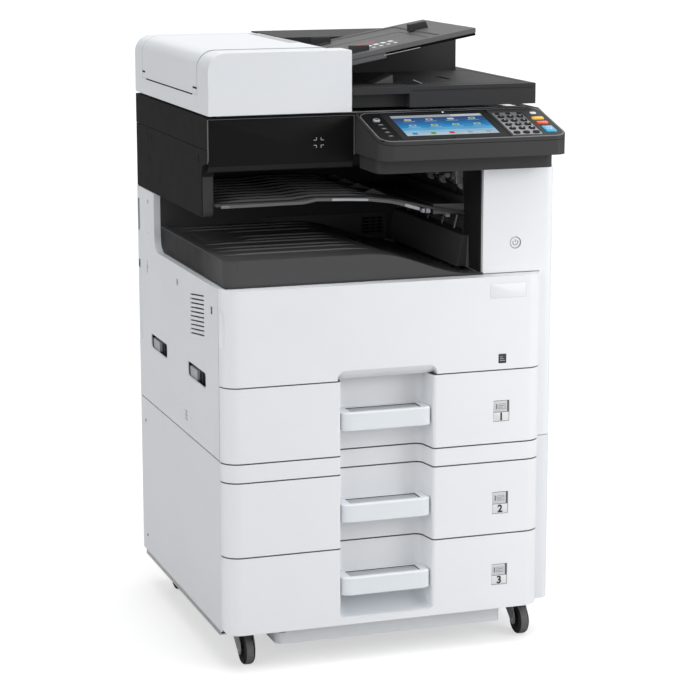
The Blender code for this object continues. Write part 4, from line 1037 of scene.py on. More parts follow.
def right_side():
    """Jam doors and the bypass tray with its guides."""
    door = cad("right_cover")
    grip = prism(rounded((0.052, 0.072), (0.500, 0.580), 0.008), (WIDTH - 0.0020, WIDTH + 0.01), "x")
    refine("right_cover", "cool_white", 0.0009, bm=carved(door, grip))
    pull = merge(*[box((WIDTH - 0.0019, WIDTH - 0.0008), (0.056, 0.068), around(0.516 + 0.012 * i, 0.003))
                   for i in range(5)])
    piece("door_grip_ribs", pull, "pale_grey", "right_door", 0.0004)
    low = cad("feeder_right_cover")
    grip = prism(rounded((0.020, 0.040), (0.180, 0.260), 0.008), (WIDTH - 0.0015, WIDTH + 0.01), "x")
    refine("feeder_right_cover", "cool_white", 0.0009, bm=carved(low, grip))
    tray = cad("bypass_tray")
    lines = [box((WIDTH - 0.0012, WIDTH + 0.001), (0.150, 0.440), around(0.440 + 0.010 * i, 0.0012))
             for i in range(4)]
    lines.append(prism(rounded((0.255, 0.335), (0.596, 0.615), 0.005), (WIDTH - 0.0022, WIDTH + 0.01), "x"))
    refine("bypass_tray", "cool_white", 0.0008, bm=carved(tray, *lines))
    guides = merge(*[box((0.5880, 0.5904), around(y, 0.004), (0.430, 0.600)) for y in (0.190, 0.400)],
                   box((0.5885, 0.5904), (0.192, 0.398), (0.500, 0.512)))
    piece("bypass_guides", guides, "pale_grey", "bypass", 0.0005)


def column():
    refine("right_column", "white", 0.0010)
    liner = box((COLUMN_X - 0.0005, COLUMN_X + 0.0003), (0.0080, 0.0862), (0.6500, 0.8262))
    piece("column_liner", liner, "soft_black", "main")
    edge = rod((COLUMN_X - 0.0006, 0.0095, 0.6540), (COLUMN_X - 0.0006, 0.0095, 0.8260), 0.0008, 8)
    piece("column_liner_edge", edge, "charcoal", "main")
    spot = (0.5216, 0.6995)
    face = turned([(0, 0.0085), (0.0092, 0.0085), (0.0094, 0.0030), (0.0094, 0.0008), (0.0090, 0.0002),
                   (0.0070, -0.0001), (0.0066, 0.0003), (0, 0.0004)],
                  (spot[0], 0.0006, spot[1]), (0, 1, 0), 48)
    refine("power_button", "white", 0, bm=face)
    halo = ring((spot[0], 0.0001, spot[1]), (0, 1, 0), 0.0097, 0.00045, 48)
    piece("power_button_ring", halo, "seam", "main")
    bow = [(0.0043 * sin(radians(a)), 0.0043 * cos(radians(a))) for a in range(38, 323, 15)]
    glyph_bm = merge(path_bar([(spot[0] + a, 0.0010, spot[1] + b) for a, b in bow],
                              0.0009, 0.0003, (0, -1, 0)),
                     path_bar([(spot[0], 0.0010, spot[1] + 0.0006), (spot[0], 0.0010, spot[1] + 0.0050)],
                              0.0009, 0.0003, (0, -1, 0)))
    piece("power_glyph", glyph_bm, "seam", "power_switch")


fronts()
left_side()
back_side()
right_side()
column()


# ---- output cavity -------------------------------------------------------------------------------
TRAY_RIM = node_box("output_tray")[1].z
TRAY_LOW = 0.6515
TRAY_EASE = (0.262, 0.445)


def tray_height(x):
    share = min(max((x - TRAY_EASE[0]) / (TRAY_EASE[1] - TRAY_EASE[0]), 0), 1)
    return TRAY_LOW + (TRAY_RIM - TRAY_LOW) * (1 + cos(pi * share)) / 2


def rib_on(height_at, x, y, wide, tall, drop=0.0, steps=24):
    """Bead that follows a curved floor along x, low at both ends."""
    rings = []
    for i in range(steps + 1):
        a = x[0] + (x[1] - x[0]) * i / steps
        ends = min(1.0, 6.0 * min(i, steps - i) / steps + 0.05)
        z = height_at(a) - drop
        rings.append([(a, y + wide / 2 * cos(t), z - 0.0004 + (tall * ends + 0.0004) * sin(t))
                      for t in (pi * k / 6 for k in range(7))] + [(a, y - wide / 2, z - 0.0010),
                                                                  (a, y + wide / 2, z - 0.0010)])
    return loft(rings)


def output_tray():
    """Lower tray with its ribs, a square outline, a finger scoop and a moulded rim."""
    drop, bed_left = 0.0025, 0.0225
    tray = cad("output_tray")
    scoop = turned([(0, -1)] + [(cos(radians(a)), sin(radians(a))) for a in range(-80, 81, 10)] + [(0, 1)],
                   (0, 0, 0), (0, 1, 0), 40)
    place = Matrix.Translation((0.338, 0.225, tray_height(0.338) + 0.0008)) @ Matrix.Rotation(radians(13),
                                                                                              4, "Y")
    scoop = moved(scoop, place @ Matrix.Diagonal((0.042, 0.125, 0.011, 1)))
    square = carved(box((0.043, 0.099), (0.225, 0.325), (TRAY_RIM - 0.01, TRAY_RIM - drop + 0.001)),
                    box((0.0442, 0.0978), (0.2262, 0.3238), (TRAY_RIM - 0.02, TRAY_RIM + 0.01)))
    groove = moved(square, Matrix.Translation((0, 0, 0.0064)))
    refine("output_tray", "tray_black", 0.0013, 3, bm=carved(tray, scoop, groove))
    low, high = node_box("output_tray")
    # thin skin over the tray's left side whose finish paints shade darkening towards the back
    bend = arc((low.x + 0.020, low.y + 0.020), 0.0204, 180, 266, 12)
    inner = arc((low.x + 0.020, low.y + 0.020), 0.0197, 266, 180, 12)
    side = prism([(low.x - 0.0004, high.y - 0.004)] + bend + inner + [(low.x + 0.0003, high.y - 0.004)],
                 (low.z + 0.001, high.z - 0.0016), "z")
    piece("output_tray_side_shade", side, "tray_side_shade", "main", 0)

    def floor_at(x):
        return tray_height(x) - drop

    ribs = []
    for y, stop in ((0.0765, 0.285), (0.119, 0.280), (0.151, 0.276), (0.196, 0.272), (0.225, 0.270),
                    (0.259, 0.270), (0.318, 0.272), (0.356, 0.278), (0.387, 0.285)):
        start = 0.105 if 0.22 < y < 0.33 else 0.030
        ribs.append(rib_on(floor_at, (start, stop), y, 0.0030, 0.0022))
    # the ribs' lighter grey is painted highlight along their tops
    piece("output_tray_ribs", merge(*ribs), "rib_highlight_grey", "main")
    lip = rib_on(tray_height, (bed_left, 0.455), 0.0048, 0.0030, 0.0008)
    piece("output_tray_lip", lip, "charcoal", "main")
    flange = box((0.0130, COLUMN_X - 0.001), (-0.0055, -0.0036), (0.6497, 0.6512))
    piece("output_tray_flange", flange, "charcoal", "main", 0.0005)


def separator_height(x):
    points = ((0.0215, 0.7760), (0.155, 0.7760), (0.192, 0.7800), (0.285, 0.7775), (0.340, 0.7700),
              (0.400, 0.7560), (0.4615, 0.7440))
    for (a, za), (b, zb) in zip(points, points[1:]):
        if x <= b:
            return za + (zb - za) * (x - a) / (b - a)
    return points[-1][1]


def separator():
    """Upper tray with fine ribs and a front lip painted paler as highlights, and four paper fins."""
    refine("separator_tray", "tray_black", 0.0009)
    ribs = []
    for i in range(9):
        y = 0.100 + 0.034 * i
        ribs.append(rib_on(separator_height, (0.026, 0.300 + 0.008 * (i % 3)), y, 0.0040, 0.0034))
    # the ribs' lighter grey is painted highlight along their tops
    piece("separator_ribs", merge(*ribs), "rib_highlight_grey", "main")
    lip = [(0.029, 0.7755), (0.100, 0.7760), (0.172, 0.7767), (0.195, 0.7807), (0.244, 0.7790),
           (0.290, 0.7765), (0.326, 0.7715), (0.352, 0.7650), (0.379, 0.7570)]
    # pale strip painted as the highlight along the front lip
    strip = path_bar([(x, 0.0799, z - 0.0045) for x, z in lip], 0.0050, 0.0016, (0, -1, 0))
    piece("separator_lip", strip, "edge_highlight_grey", "main", 0.0005)
    # paler strips painted as the highlights on the lip's humps
    bright = [path_bar([(x, 0.0786, z - 0.0045) for x, z in run], wide, 0.0005, (0, -1, 0))
              for run, wide in
              ((((0.222, 0.7798), (0.250, 0.7789), (0.286, 0.7768)), 0.0040),
               (((0.352, 0.7650), (0.366, 0.7610), (0.378, 0.7573)), 0.0052))]
    piece("separator_lip_highlights", merge(*bright), "pale_grey", "main")
    knob = cushion((0.030, 0.044), (-0.0026, 0.0026), 0.0022, 0, 0.0020, 0.0008)
    piece("separator_stud", on_front(knob, 0, 0.7715, 0.0786), "mid_grey", "main")
    fins = []
    for y in (0.360, 0.300, 0.230, 0.150):
        base = separator_height(0.315)
        wedge = [(0.296, base - 0.001), (0.352, separator_height(0.352) - 0.001), (0.318, base + 0.0085)]
        fins.append(prism(wedge, (y - 0.004, y + 0.004), "y"))
    piece("separator_fins", merge(*fins), "tray_black", "main", 0.0015)


def eject_side():
    """Right wall of the cavity: exit ledge, levers, rollers and the guide below them."""
    refine("eject_housing", "wall_black", 0.0006)
    wall_x = node_box("eject_housing")[0].x
    ledge = box((0.4080, wall_x + 0.0005), (0.0875, 0.4080), (0.7410, 0.7580))
    relief = box((0.4140, 0.4600), (0.0920, 0.4000), (0.7562, 0.7600))
    piece("exit_ledge", carved(ledge, relief), "wall_black", "main", 0.0012)
    # paler bar painted as the highlight on the ledge's front face
    bar = prism([(0.4060, 0.7415), (wall_x, 0.7402), (wall_x, 0.7575), (0.4060, 0.7587)],
                (0.0862, 0.0878), "y")
    piece("exit_ledge_front", bar, "edge_highlight_grey", "main", 0.0005)
    clips = merge(box((0.3925, 0.4000), (0.0830, 0.0950), (0.7440, 0.7560)),
                  box((0.3842, 0.3900), (0.0830, 0.0930), (0.7452, 0.7522)),
                  box((0.4330, 0.4400), (0.0930, 0.1010), (0.7340, 0.7400)))
    piece("exit_clips", clips, "pale_grey", "main", 0.0010)
    levers = []
    for y in (0.076, 0.1325, 0.201, 0.300):
        path = [(0.4450, y, 0.7405), (0.4430, y, 0.7320), (0.4405, y, 0.7240), (0.4390, y, 0.7172)]
        levers.append(path_bar(path, 0.0034, 0.0020, (1, 0, 0.2)))
    piece("paper_levers", merge(*levers), "mid_grey", "main", 0.0005)
    guide = prism([(0.4400, 0.6525), (wall_x, 0.6525), (wall_x, 0.7060), (0.4520, 0.7060)],
                  (0.0640, 0.4080), "y")
    piece("exit_deflector", guide, "wall_black", "main", 0.0015)
    # thin pale sliver painted as the highlight on the corner edge
    sliver = prism([(0.4570, 0.6510), (0.4622, 0.6510), (0.4604, 0.7058)], (0.0600, 0.0636), "y")
    piece("corner_gusset", sliver, "edge_highlight_grey", "main", 0.0004)
    low, high = node_box("eject_rollers")
    x, z = (low.x + high.x) / 2, (low.z + high.z) / 2
    shaft = rod((x, low.y, z), (x, high.y, z), 0.0029, 20, 0.0004)
    roll = both_ends([(0, -0.006), (0.0066, -0.006), (0.0074, -0.0048)])
    rolls = [turned(roll, (x, y, z), (0, 1, 0), 28) for y in (0.116, 0.205, 0.264, 0.353)]
    refine("eject_rollers", "bright_steel", 0, bm=shaft)
    piece("eject_roll_tyres", merge(*rolls), "paper_grey", "eject_shaft")
    arms = []
    for y in (0.126, 0.150, 0.216, 0.276, 0.330, 0.364):
        arms.append(path_bar([(0.4600, y, 0.8200), (0.4585, y, 0.8050), (0.4560, y, 0.7950),
                              (0.4580, y, 0.7870)],
                             0.0050, 0.0022, (1, 0, 0)))
        arms.append(box((0.4560, 0.4640), around(y, 0.0090), (0.8080, 0.8160)))
    piece("exit_arms", merge(*arms), "charcoal", "main", 0.0006)
    pins = [rod((0.4570, y - 0.004, 0.7985), (0.4570, y + 0.004, 0.7985), 0.0046, 20) for y in
            (0.116, 0.150, 0.205, 0.264, 0.310, 0.353)]
    piece("exit_star_wheels", merge(*pins), "pale_grey", "main")
    block = merge(box((0.4480, 0.4622), (0.0900, 0.1080), (0.8020, 0.8258)),
                  box((0.4500, 0.4622), (0.0920, 0.1040), (0.7900, 0.8020)))
    piece("exit_bearing", block, "castor_grey", "main", 0.0010)


def cavity():
    """Back wall with its stepped panel and louvres, and the trays and exits in front of it."""
    low, high = node_box("cavity_wall")
    wall = joined(cad("cavity_wall"), box((0.290, 0.360), (low.y, high.y), (0.6700, 0.7210)))
    groove = box((0.2060, 0.4390), (CAVITY_BACK - 0.001, CAVITY_BACK + 0.0012), around(0.7006, 0.0013))
    slots = [box(x, (low.y - 0.01, high.y + 0.01), around(0.6640 + 0.0063 * i, 0.0036))
             for x in ((0.3940, 0.4080), (0.4100, 0.4200), (0.4220, 0.4330)) for i in range(5)]
    refine("cavity_wall", "wall_black", 0.0004, bm=carved(wall, groove, *slots))
    skin = carved(box((0.2070, 0.4390), (CAVITY_BACK - 0.0009, CAVITY_BACK + 0.0002), (0.6530, 0.6998)),
                  box((0.3920, 0.4350), (CAVITY_BACK - 0.01, CAVITY_BACK + 0.01), (0.6600, 0.6915)))
    piece("cavity_panel", skin, "tray_black", "main", 0.0003)
    shelf = box((0.100, 0.455), (CAVITY_BACK - 0.0030, CAVITY_BACK + 0.0005), (0.8060, 0.8110))
    piece("cavity_shelf", shelf, "charcoal", "main", 0.0010)
    # black sheet painted as the shade behind the louvre slots
    veil = box((0.390, 0.437), (high.y + 0.0002, high.y + 0.0004), (0.658, 0.694))
    piece("louvre_dark", veil, "void", "main")
    output_tray()
    separator()
    eject_side()


# ---- scanner -------------------------------------------------------------------------------------
def scanner():
    """Flatbed body with its gloss front, corner-mark emblem, glass and lamp carriage."""
    top = SCANNER_TOP
    refine("scanner_housing", "side_black", 0.0009)
    front_x, low_z, high_z = (0.0024, 0.2506), 0.8420, 0.9170
    gloss = on_front(cushion(front_x, (low_z, high_z), 0.0006, -0.0002, 0.0012, 0.0003), 0, 0, SCAN_Y0)
    piece("scanner_front", gloss, "gloss_black", "main")
    top_line = path_bar([(x, SCAN_Y0 + 0.0001, 0.9182) for x in (0.0012, 0.2516)],
                        0.0010, 0.0011, (0, -1, 0))
    piece("scanner_trim_top", top_line, "seam", "main")
    # pale beads painted as the highlights on the gloss front's side edges
    fall = [(0.0530, 0.9182), (0.0530, 0.8530), (0.0545, 0.8492), (0.0570, 0.8465)]
    for side, x, line in (("left", 0.0012, fall), ("right", 0.2518, fall[:2])):
        bead = []
        for k, (y, z) in enumerate(line):
            ahead = Vector(line[min(k + 1, len(line) - 1)]) - Vector(line[max(k - 1, 0)])
            out = Vector((ahead.y, -ahead.x)).normalized() * 0.0010
            bead.append([(x + a, y + out.x * b, z + out.y * b) for a, b in
                         ((-0.0008, -0.4), (0.0008, -0.4), (0.0008, 1), (-0.0008, 1))])
        piece(f"scanner_trim_{side}", loft(bead), "edge_highlight_grey", "main")
    chin = prism([(SCAN_Y0 + 0.0002, 0.8418), (SCAN_Y0 - 0.0008, 0.8418), (SCAN_Y0 + 0.0030, 0.8330),
                  (SCAN_Y0 + 0.0100, 0.8310)], (0.0026, 0.2500), "x")
    piece("scanner_chin", chin, "soft_black", "main", 0.0006)
    arrows = []
    for sx in (-1, 1):
        for sz in (-1, 1):
            corner = [(sx * 0.0088, sz * 0.0042), (sx * 0.0040, sz * 0.0042), (sx * 0.0040, sz * 0.0085)]
            arrows.append(path_bar([(0.190 + a, SCAN_Y0 - 0.0011, 0.875 + b) for a, b in corner],
                                   0.0013, 0.0003, (0, -1, 0)))
    piece("scanner_emblem", merge(*arrows), "paper_grey", "main")
    hanging = cad("scanner_left_cover")
    slots = [box((-0.001, deep), around(y, wide), around(z, tall)) for deep, wide, tall, y, z in
             ((0.0022, 0.0034, 0.0125, 0.441, 0.8135), (0.0022, 0.0034, 0.0125, 0.107, 0.8505),
              (0.0009, 0.0016, 0.0120, 0.446, 0.8500), (0.0009, 0.0016, 0.0120, 0.421, 0.8515))]
    r = 0.0120
    knock = prism([(0.089, 0.753), (0.090 + r, 0.753)] + arc((0.090 + r, 0.754 + r), r, 270, 180, 8)
                  + [(0.089, 0.754 + r)], (-0.001, 0.022), "x")
    refine("scanner_left_cover", "side_black", 0.0016, 3, bm=carved(hanging, knock, *slots))
    bend = arc((0.0900 + r, 0.754 + r), r + 0.0005, 270, 180, 8) + [(0.0895, 0.8210)]
    rest = [(0.0904, 0.8210)] + arc((0.0900 + r, 0.754 + r), r - 0.0004, 180, 270, 8)
    piece("hanging_cover_front", prism(bend + rest, (0.0016, 0.0192), "x"),
          "charcoal", "main")
    # black plates painted as the shade behind the side slots
    back = box((0.0019, 0.0024), (0.100, 0.112), (0.842, 0.860))
    rear = box((0.0019, 0.0024), (0.434, 0.448), (0.805, 0.822))
    piece("side_slot_dark", merge(back, rear), "void", "main")
    glass = node_box("platen_glass")
    refine("platen_glass", "glass", 0.0004)
    edge_strip = merge(box((0.0208, glass[0].x), (0.0720, 0.5180), (top + 0.0001, top + 0.0012)),
                       box((0.0208, 0.5650), (0.0640, 0.0748), (top + 0.0001, top + 0.0012)))
    piece("glass_scale_strip", edge_strip, "pale_grey", "main", 0.0003)
    ticks = [box((0.075 + 0.05 * i, 0.0762 + 0.05 * i), (0.0655, 0.0735), (top + 0.0012, top + 0.0014))
             for i in range(9)]
    piece("glass_scale_ticks", merge(*ticks), "print_dark", "main")
    low, high = node_box("scan_carriage")
    refine("scan_carriage", "soft_black", 0.0008)
    tube = rod((low.x + 0.012, low.y + 0.008, high.z + 0.0012),
               (low.x + 0.012, high.y - 0.008, high.z + 0.0012), 0.0022, 20)
    piece("scan_lamp", tube, "print_white", "carriage")
    mirror = box((low.x + 0.0225, low.x + 0.0355), (low.y + 0.014, high.y - 0.014),
                 (low.z + 0.0042, low.z + 0.0050))
    piece("scan_mirror", mirror, "bright_steel", "carriage")
    rails = merge(*[rod((0.032, y, 0.8764), (0.558, y, 0.8764), 0.0020, 16) for y in (0.0785, 0.5115)])
    piece("scan_rails", rails, "bright_steel", "main")


# ---- operation panel -----------------------------------------------------------------------------
SCREEN_X, SCREEN_Y = (0.3070, 0.4680), (-0.0535, 0.0340)
PAD_X, PAD_Y = (0.4885, 0.5425), (-0.0640, 0.0360)
NUMBER_COLUMNS = (0.4980, 0.5150, 0.5325)
NUMBER_ROWS = (0.0147, -0.0025, -0.0195, -0.0367, -0.0550)
GLASS_RISE = 0.00004


def screen():
    """Lit touch screen: sky gradient, a grey title bar and three rows of round icons with captions."""
    w, d = SCREEN_X[1] - SCREEN_X[0], SCREEN_Y[1] - SCREEN_Y[0]

    def at(u, v):
        return SCREEN_X[0] + u * w, SCREEN_Y[0] + v * d

    def patch(name, u, v, finish, level, radius=0.0002):
        (x0, y0), (x1, y1) = at(u[0], v[0]), at(u[1], v[1])
        base = GLASS_RISE + 0.00006 * level
        piece(name, on_panel(cushion((x0, x1), (y0, y1), radius, base, base + 0.00008, 0.00002)),
              finish, "main")

    band = 0.885 / len(SKY)
    for i in range(len(SKY)):
        patch(f"screen_sky_{i}", (0, 1), (0.885 - band * (i + 1), 0.885 - band * i), f"sky_{i}", 0)
    patch("screen_title", (0, 1), (0.885, 1.0), "bar", 0)
    patch("screen_title_box", (0.66, 0.985), (0.90, 0.985), "paper", 1)
    tones = ("icon_amber", "icon_red", "paper", "icon_green", "icon_blue", "icon_green",
             "icon_green", "icon_green")
    for i, tone in enumerate(tones):
        u, v = 0.155 + 0.235 * (i % 4), 0.745 - 0.285 * (i // 4)
        patch(f"icon_plate_{i}", (u - 0.038, u + 0.038), (v - 0.004, v + 0.078), "paper", 1, 0.0030)
        patch(f"icon_{i}", (u - 0.025, u + 0.025), (v + 0.010, v + 0.064), tone, 2, 0.0018)
        patch(f"caption_{i}", (u - 0.066, u + 0.066), (v - 0.062, v - 0.038), "mist", 1, 0.0008)
    for i, tone in enumerate(("icon_blue", "icon_green", "icon_red", "bar", "bar")):
        u = 0.10 + 0.20 * i
        patch(f"icon_low_{i}", (u - 0.028, u + 0.028), (0.055, 0.150), tone, 1, 0.0022)


def panel():
    """Wedge-shaped panel: bezel, glass, lit screen, keys and indicator."""
    refine("panel_housing", "charcoal", 0.0014, 3)
    refine("display_glass", "gloss_black", 0.0004)
    bezel = on_panel(rim((0.2556, 0.5802), (-0.0752, 0.0512), 0.0215, 0.0011, -0.0002, 0.0006, 8))
    piece("panel_bezel_line", bezel, "castor_grey", "main")
    groove = [(a, b, SCANNER_TOP + PANEL_SLOPE * (b - SCAN_Y0) - 0.0062) for a, b in
              rounded((0.2535, 0.5821), (-0.0776, 0.0528), (0.025, 0.022, 0.0002, 0.0002), 8)]
    centre = Vector((0.418, -0.012, 0))
    rings = []
    for inset, lift in ((0.0, 0.0), (0.0, 0.0007), (0.0012, 0.0007), (0.0012, 0.0)):
        rings.append([Vector((x, y, z + lift))
                      + (Vector((centre.x - x, centre.y - y, 0))).normalized() * inset
                      for x, y, z in groove])
    # black ring painted as the shade in the groove
    piece("panel_groove", frame_skin(rings), "void", "main")
    surround = on_panel(carved(cushion((SCREEN_X[0] - 0.0130, SCREEN_X[1] + 0.0130),
                                       (SCREEN_Y[0] - 0.0145, SCREEN_Y[1] + 0.0100),
                                       0.002, -0.0001, 0.00012, 0.00003),
                               box(SCREEN_X, SCREEN_Y, (-0.01, 0.01))))
    piece("screen_surround", surround, "soft_black", "main")
    screen()
    mark = on_panel(cushion((0.3815, 0.3865), (-0.0665, -0.0640), 0.0006, 0, 0.00015, 0.00004))
    piece("screen_foot_mark", mark, "void", "main")
    led = on_panel(cushion(around(0.4052, 0.0026), around(0.0440, 0.0026), 0.0012, 0, 0.0006, 0.0003))
    piece("status_light", led, "led", "main")
    quick_rows = (-0.0035, -0.0195, -0.0360, -0.0525)
    keys = [on_panel(cushion(around(0.2785, 0.0105), around(y, 0.0068), 0.0026, 0, 0.0011, 0.0006))
            for y in quick_rows]
    piece("quick_keys", merge(*keys), "charcoal", "main")
    marks = [on_panel(cushion(around(0.2785, 0.0052), around(y, 0.0012), 0.0004, 0.0011, 0.0013, 0.0001))
             for y in quick_rows]
    piece("quick_key_marks", merge(*marks), "paper_grey", "main")
    home = on_panel(cushion(around(0.2785, 0.0118), around(0.0174, 0.0118),
                            0.0050, -0.0035, 0.0022, 0.0009))
    refine("home_key", "silver_key", 0, bm=home)
    roof = on_panel(merge(path_bar([(0.2752, 0.0172, 0.0021), (0.2785, 0.0202, 0.0021),
                                    (0.2818, 0.0172, 0.0021)], 0.0008, 0.0003, (0, 0, 1)),
                          rim((0.2765, 0.2805), (0.0142, 0.0175), 0.0003, 0.0007, 0.0021, 0.0024)))
    piece("home_glyph", roof, "print_dark", "home_switch")
    mat = cushion((PAD_X[0] + GAP, PAD_X[1] - GAP), (PAD_Y[0] + GAP, PAD_Y[1] - GAP),
                  0.0012, -0.0030, -0.0008, 0.0004)
    refine("number_keys", "castor_grey", 0, bm=on_panel(mat))
    digits = "123456789*0#"
    studs, tops = [], []
    for row, y in enumerate(NUMBER_ROWS):
        for column_index, x in enumerate(NUMBER_COLUMNS):
            studs.append(on_panel(cushion(around(x, 0.0118), around(y, 0.0090),
                                          0.0042, -0.0010, 0.0017, 0.0011)))
            place = row * 3 + column_index
            if place < len(digits):
                tops.append(on_panel(moved(glyph(digits[place], 0.0052, 0.0002),
                                           Matrix.Translation((x, y - 0.0002, 0.0018)))))
    studs += [on_panel(cushion(around(x, 0.0085), around(0.0285, 0.0050), 0.0022, -0.0010, 0.0012, 0.0007))
              for x in (0.4970, 0.5165, 0.5365)]
    piece("number_studs", merge(*studs), "soft_black", "number_pad")
    piece("number_digits", merge(*tops), "print_white", "number_pad")
    for name, spot, size, finish in (("start_key", (0.5590, -0.0470), (0.0188, 0.0248), "cyan_key"),
                                     ("stop_key", (0.5590, -0.0185), (0.0198, 0.0093), "orange_key"),
                                     ("reset_key", (0.5590, 0.0015), (0.0208, 0.0093), "yellow_key")):
        bm = on_panel(cushion(around(spot[0], size[0]), around(spot[1], size[1]),
                              0.0022, -0.0026, 0.0024, 0.0010))
        refine(name, finish, 0, bm=bm)
    bow = [(0.5590 + 0.0042 * sin(radians(a)), -0.0470 + 0.0042 * cos(radians(a)), 0.0023)
           for a in range(35, 326, 18)]
    glyph_bm = on_panel(merge(path_bar(bow, 0.0010, 0.0003, (0, 0, 1)),
                              path_bar([(0.5590, -0.0462, 0.0023), (0.5590, -0.0412, 0.0023)],
                                       0.0010, 0.0003, (0, 0, 1))))
    piece("start_glyph", glyph_bm, "print_white", "start_switch")
    save = on_panel(cushion(around(0.5610, 0.0105), around(0.0262, 0.0085),
                            0.0030, -0.0002, 0.0012, 0.0006))
    piece("saver_key", save, "print_white", "main")
    # black strip painted as the shade of the groove between screen side and keypad
    divider = on_panel(box((0.4822, 0.4836), (-0.0700, 0.0488), (-0.0002, 0.0003)))
    piece("panel_divider", divider, "void", "main")


# ---- document feeder -----------------------------------------------------------------------------
def feeder_box():
    """White feeder box and its curved lid, with seam fillers, hinge notches and a grey edge strip."""
    grooves = [box((-0.001, 0.0007), around(y, 0.0010), (0.9245, 0.9520)) for y in (0.1110, 0.4800)]
    refine("adf_box", "cool_white", 0.0022, 3, bm=carved(cad("adf_box"), *grooves))
    refine("adf_top_cover", "cool_white", 0.0008)
    low, high = node_box("adf_top_cover")
    filler = merge(*[box((0.0002, 0.0028), y, (0.9502, 0.9533)) for y in
                     ((low.y + 0.0003, low.y + 0.031), (high.y - 0.024, high.y - 0.0003))])
    piece("lid_seam_fillers", filler, "cool_white", "adf")
    # black boxes painted as the shade inside the hinge notches
    notch = merge(*[box((-0.0003, 0.0024), y, around(0.9646, 0.0030)) for y in
                    ((low.y + 0.0004, low.y + 0.0250), (high.y - 0.0200, high.y - 0.0004))])
    piece("lid_hinge_notches", notch, "void", "adf_lid")
    big = 0.0300
    over = [(0.0, 0.9540)] + arc((big, high.z - big), big, 180, 90, 14) + [(high.x - 0.001, high.z)]
    under = [(high.x - 0.001, high.z - 0.0012)]
    under += arc((big, high.z - big), big - 0.0012, 90, 180, 14) + [(0.0012, 0.9540)]
    for side, y in (("front", low.y), ("rear", high.y)):
        line = prism([(a - 0.0001, b + 0.0001) for a, b in over] + under, around(y, 0.0009), "y")
        piece(f"lid_seam_{side}", line, "pale_grey", "adf")
    # black strip painted as the shade in the gap under the lid
    shadow = box((0.0006, 0.0016), (low.y + 0.031, high.y - 0.024), (0.9502, 0.9533))
    piece("lid_gap_dark", shadow, "void", "adf")
    band = box((high.x - 0.0040, high.x + 0.0004), (low.y + 0.0120, high.y - 0.0040),
               (high.z - 0.0100, high.z - 0.0002))
    piece("lid_edge_strip", band, "pale_grey", "adf_lid", 0.0008)
    top = box((high.x - 0.0220, high.x - 0.0002), (low.y + 0.120, high.y - 0.004),
              (high.z - 0.0012, high.z + 0.0004))
    piece("lid_grip_strip", top, "pale_grey", "adf_lid", 0.0004)
    pads = merge(*[rod((0.120, y, 0.9900), (0.120, y + 0.040, 0.9900), 0.0100, 28)
                   for y in (0.200, 0.300)],
                 rod((0.120, 0.130, 0.9900), (0.120, 0.460, 0.9900), 0.0035, 16))
    piece("adf_pick_rollers", pads, "rubber", "adf")
    deck = prism([(0.050, 0.9700), (0.070, 0.9830), (0.100, 0.9870), (0.215, 0.9790),
                  (0.215, 0.9760), (0.100, 0.9840), (0.072, 0.9800), (0.053, 0.9680)],
                 (low.y + 0.012, high.y - 0.012), "y")
    piece("adf_paper_guide", deck, "charcoal", "adf", 0.0006)


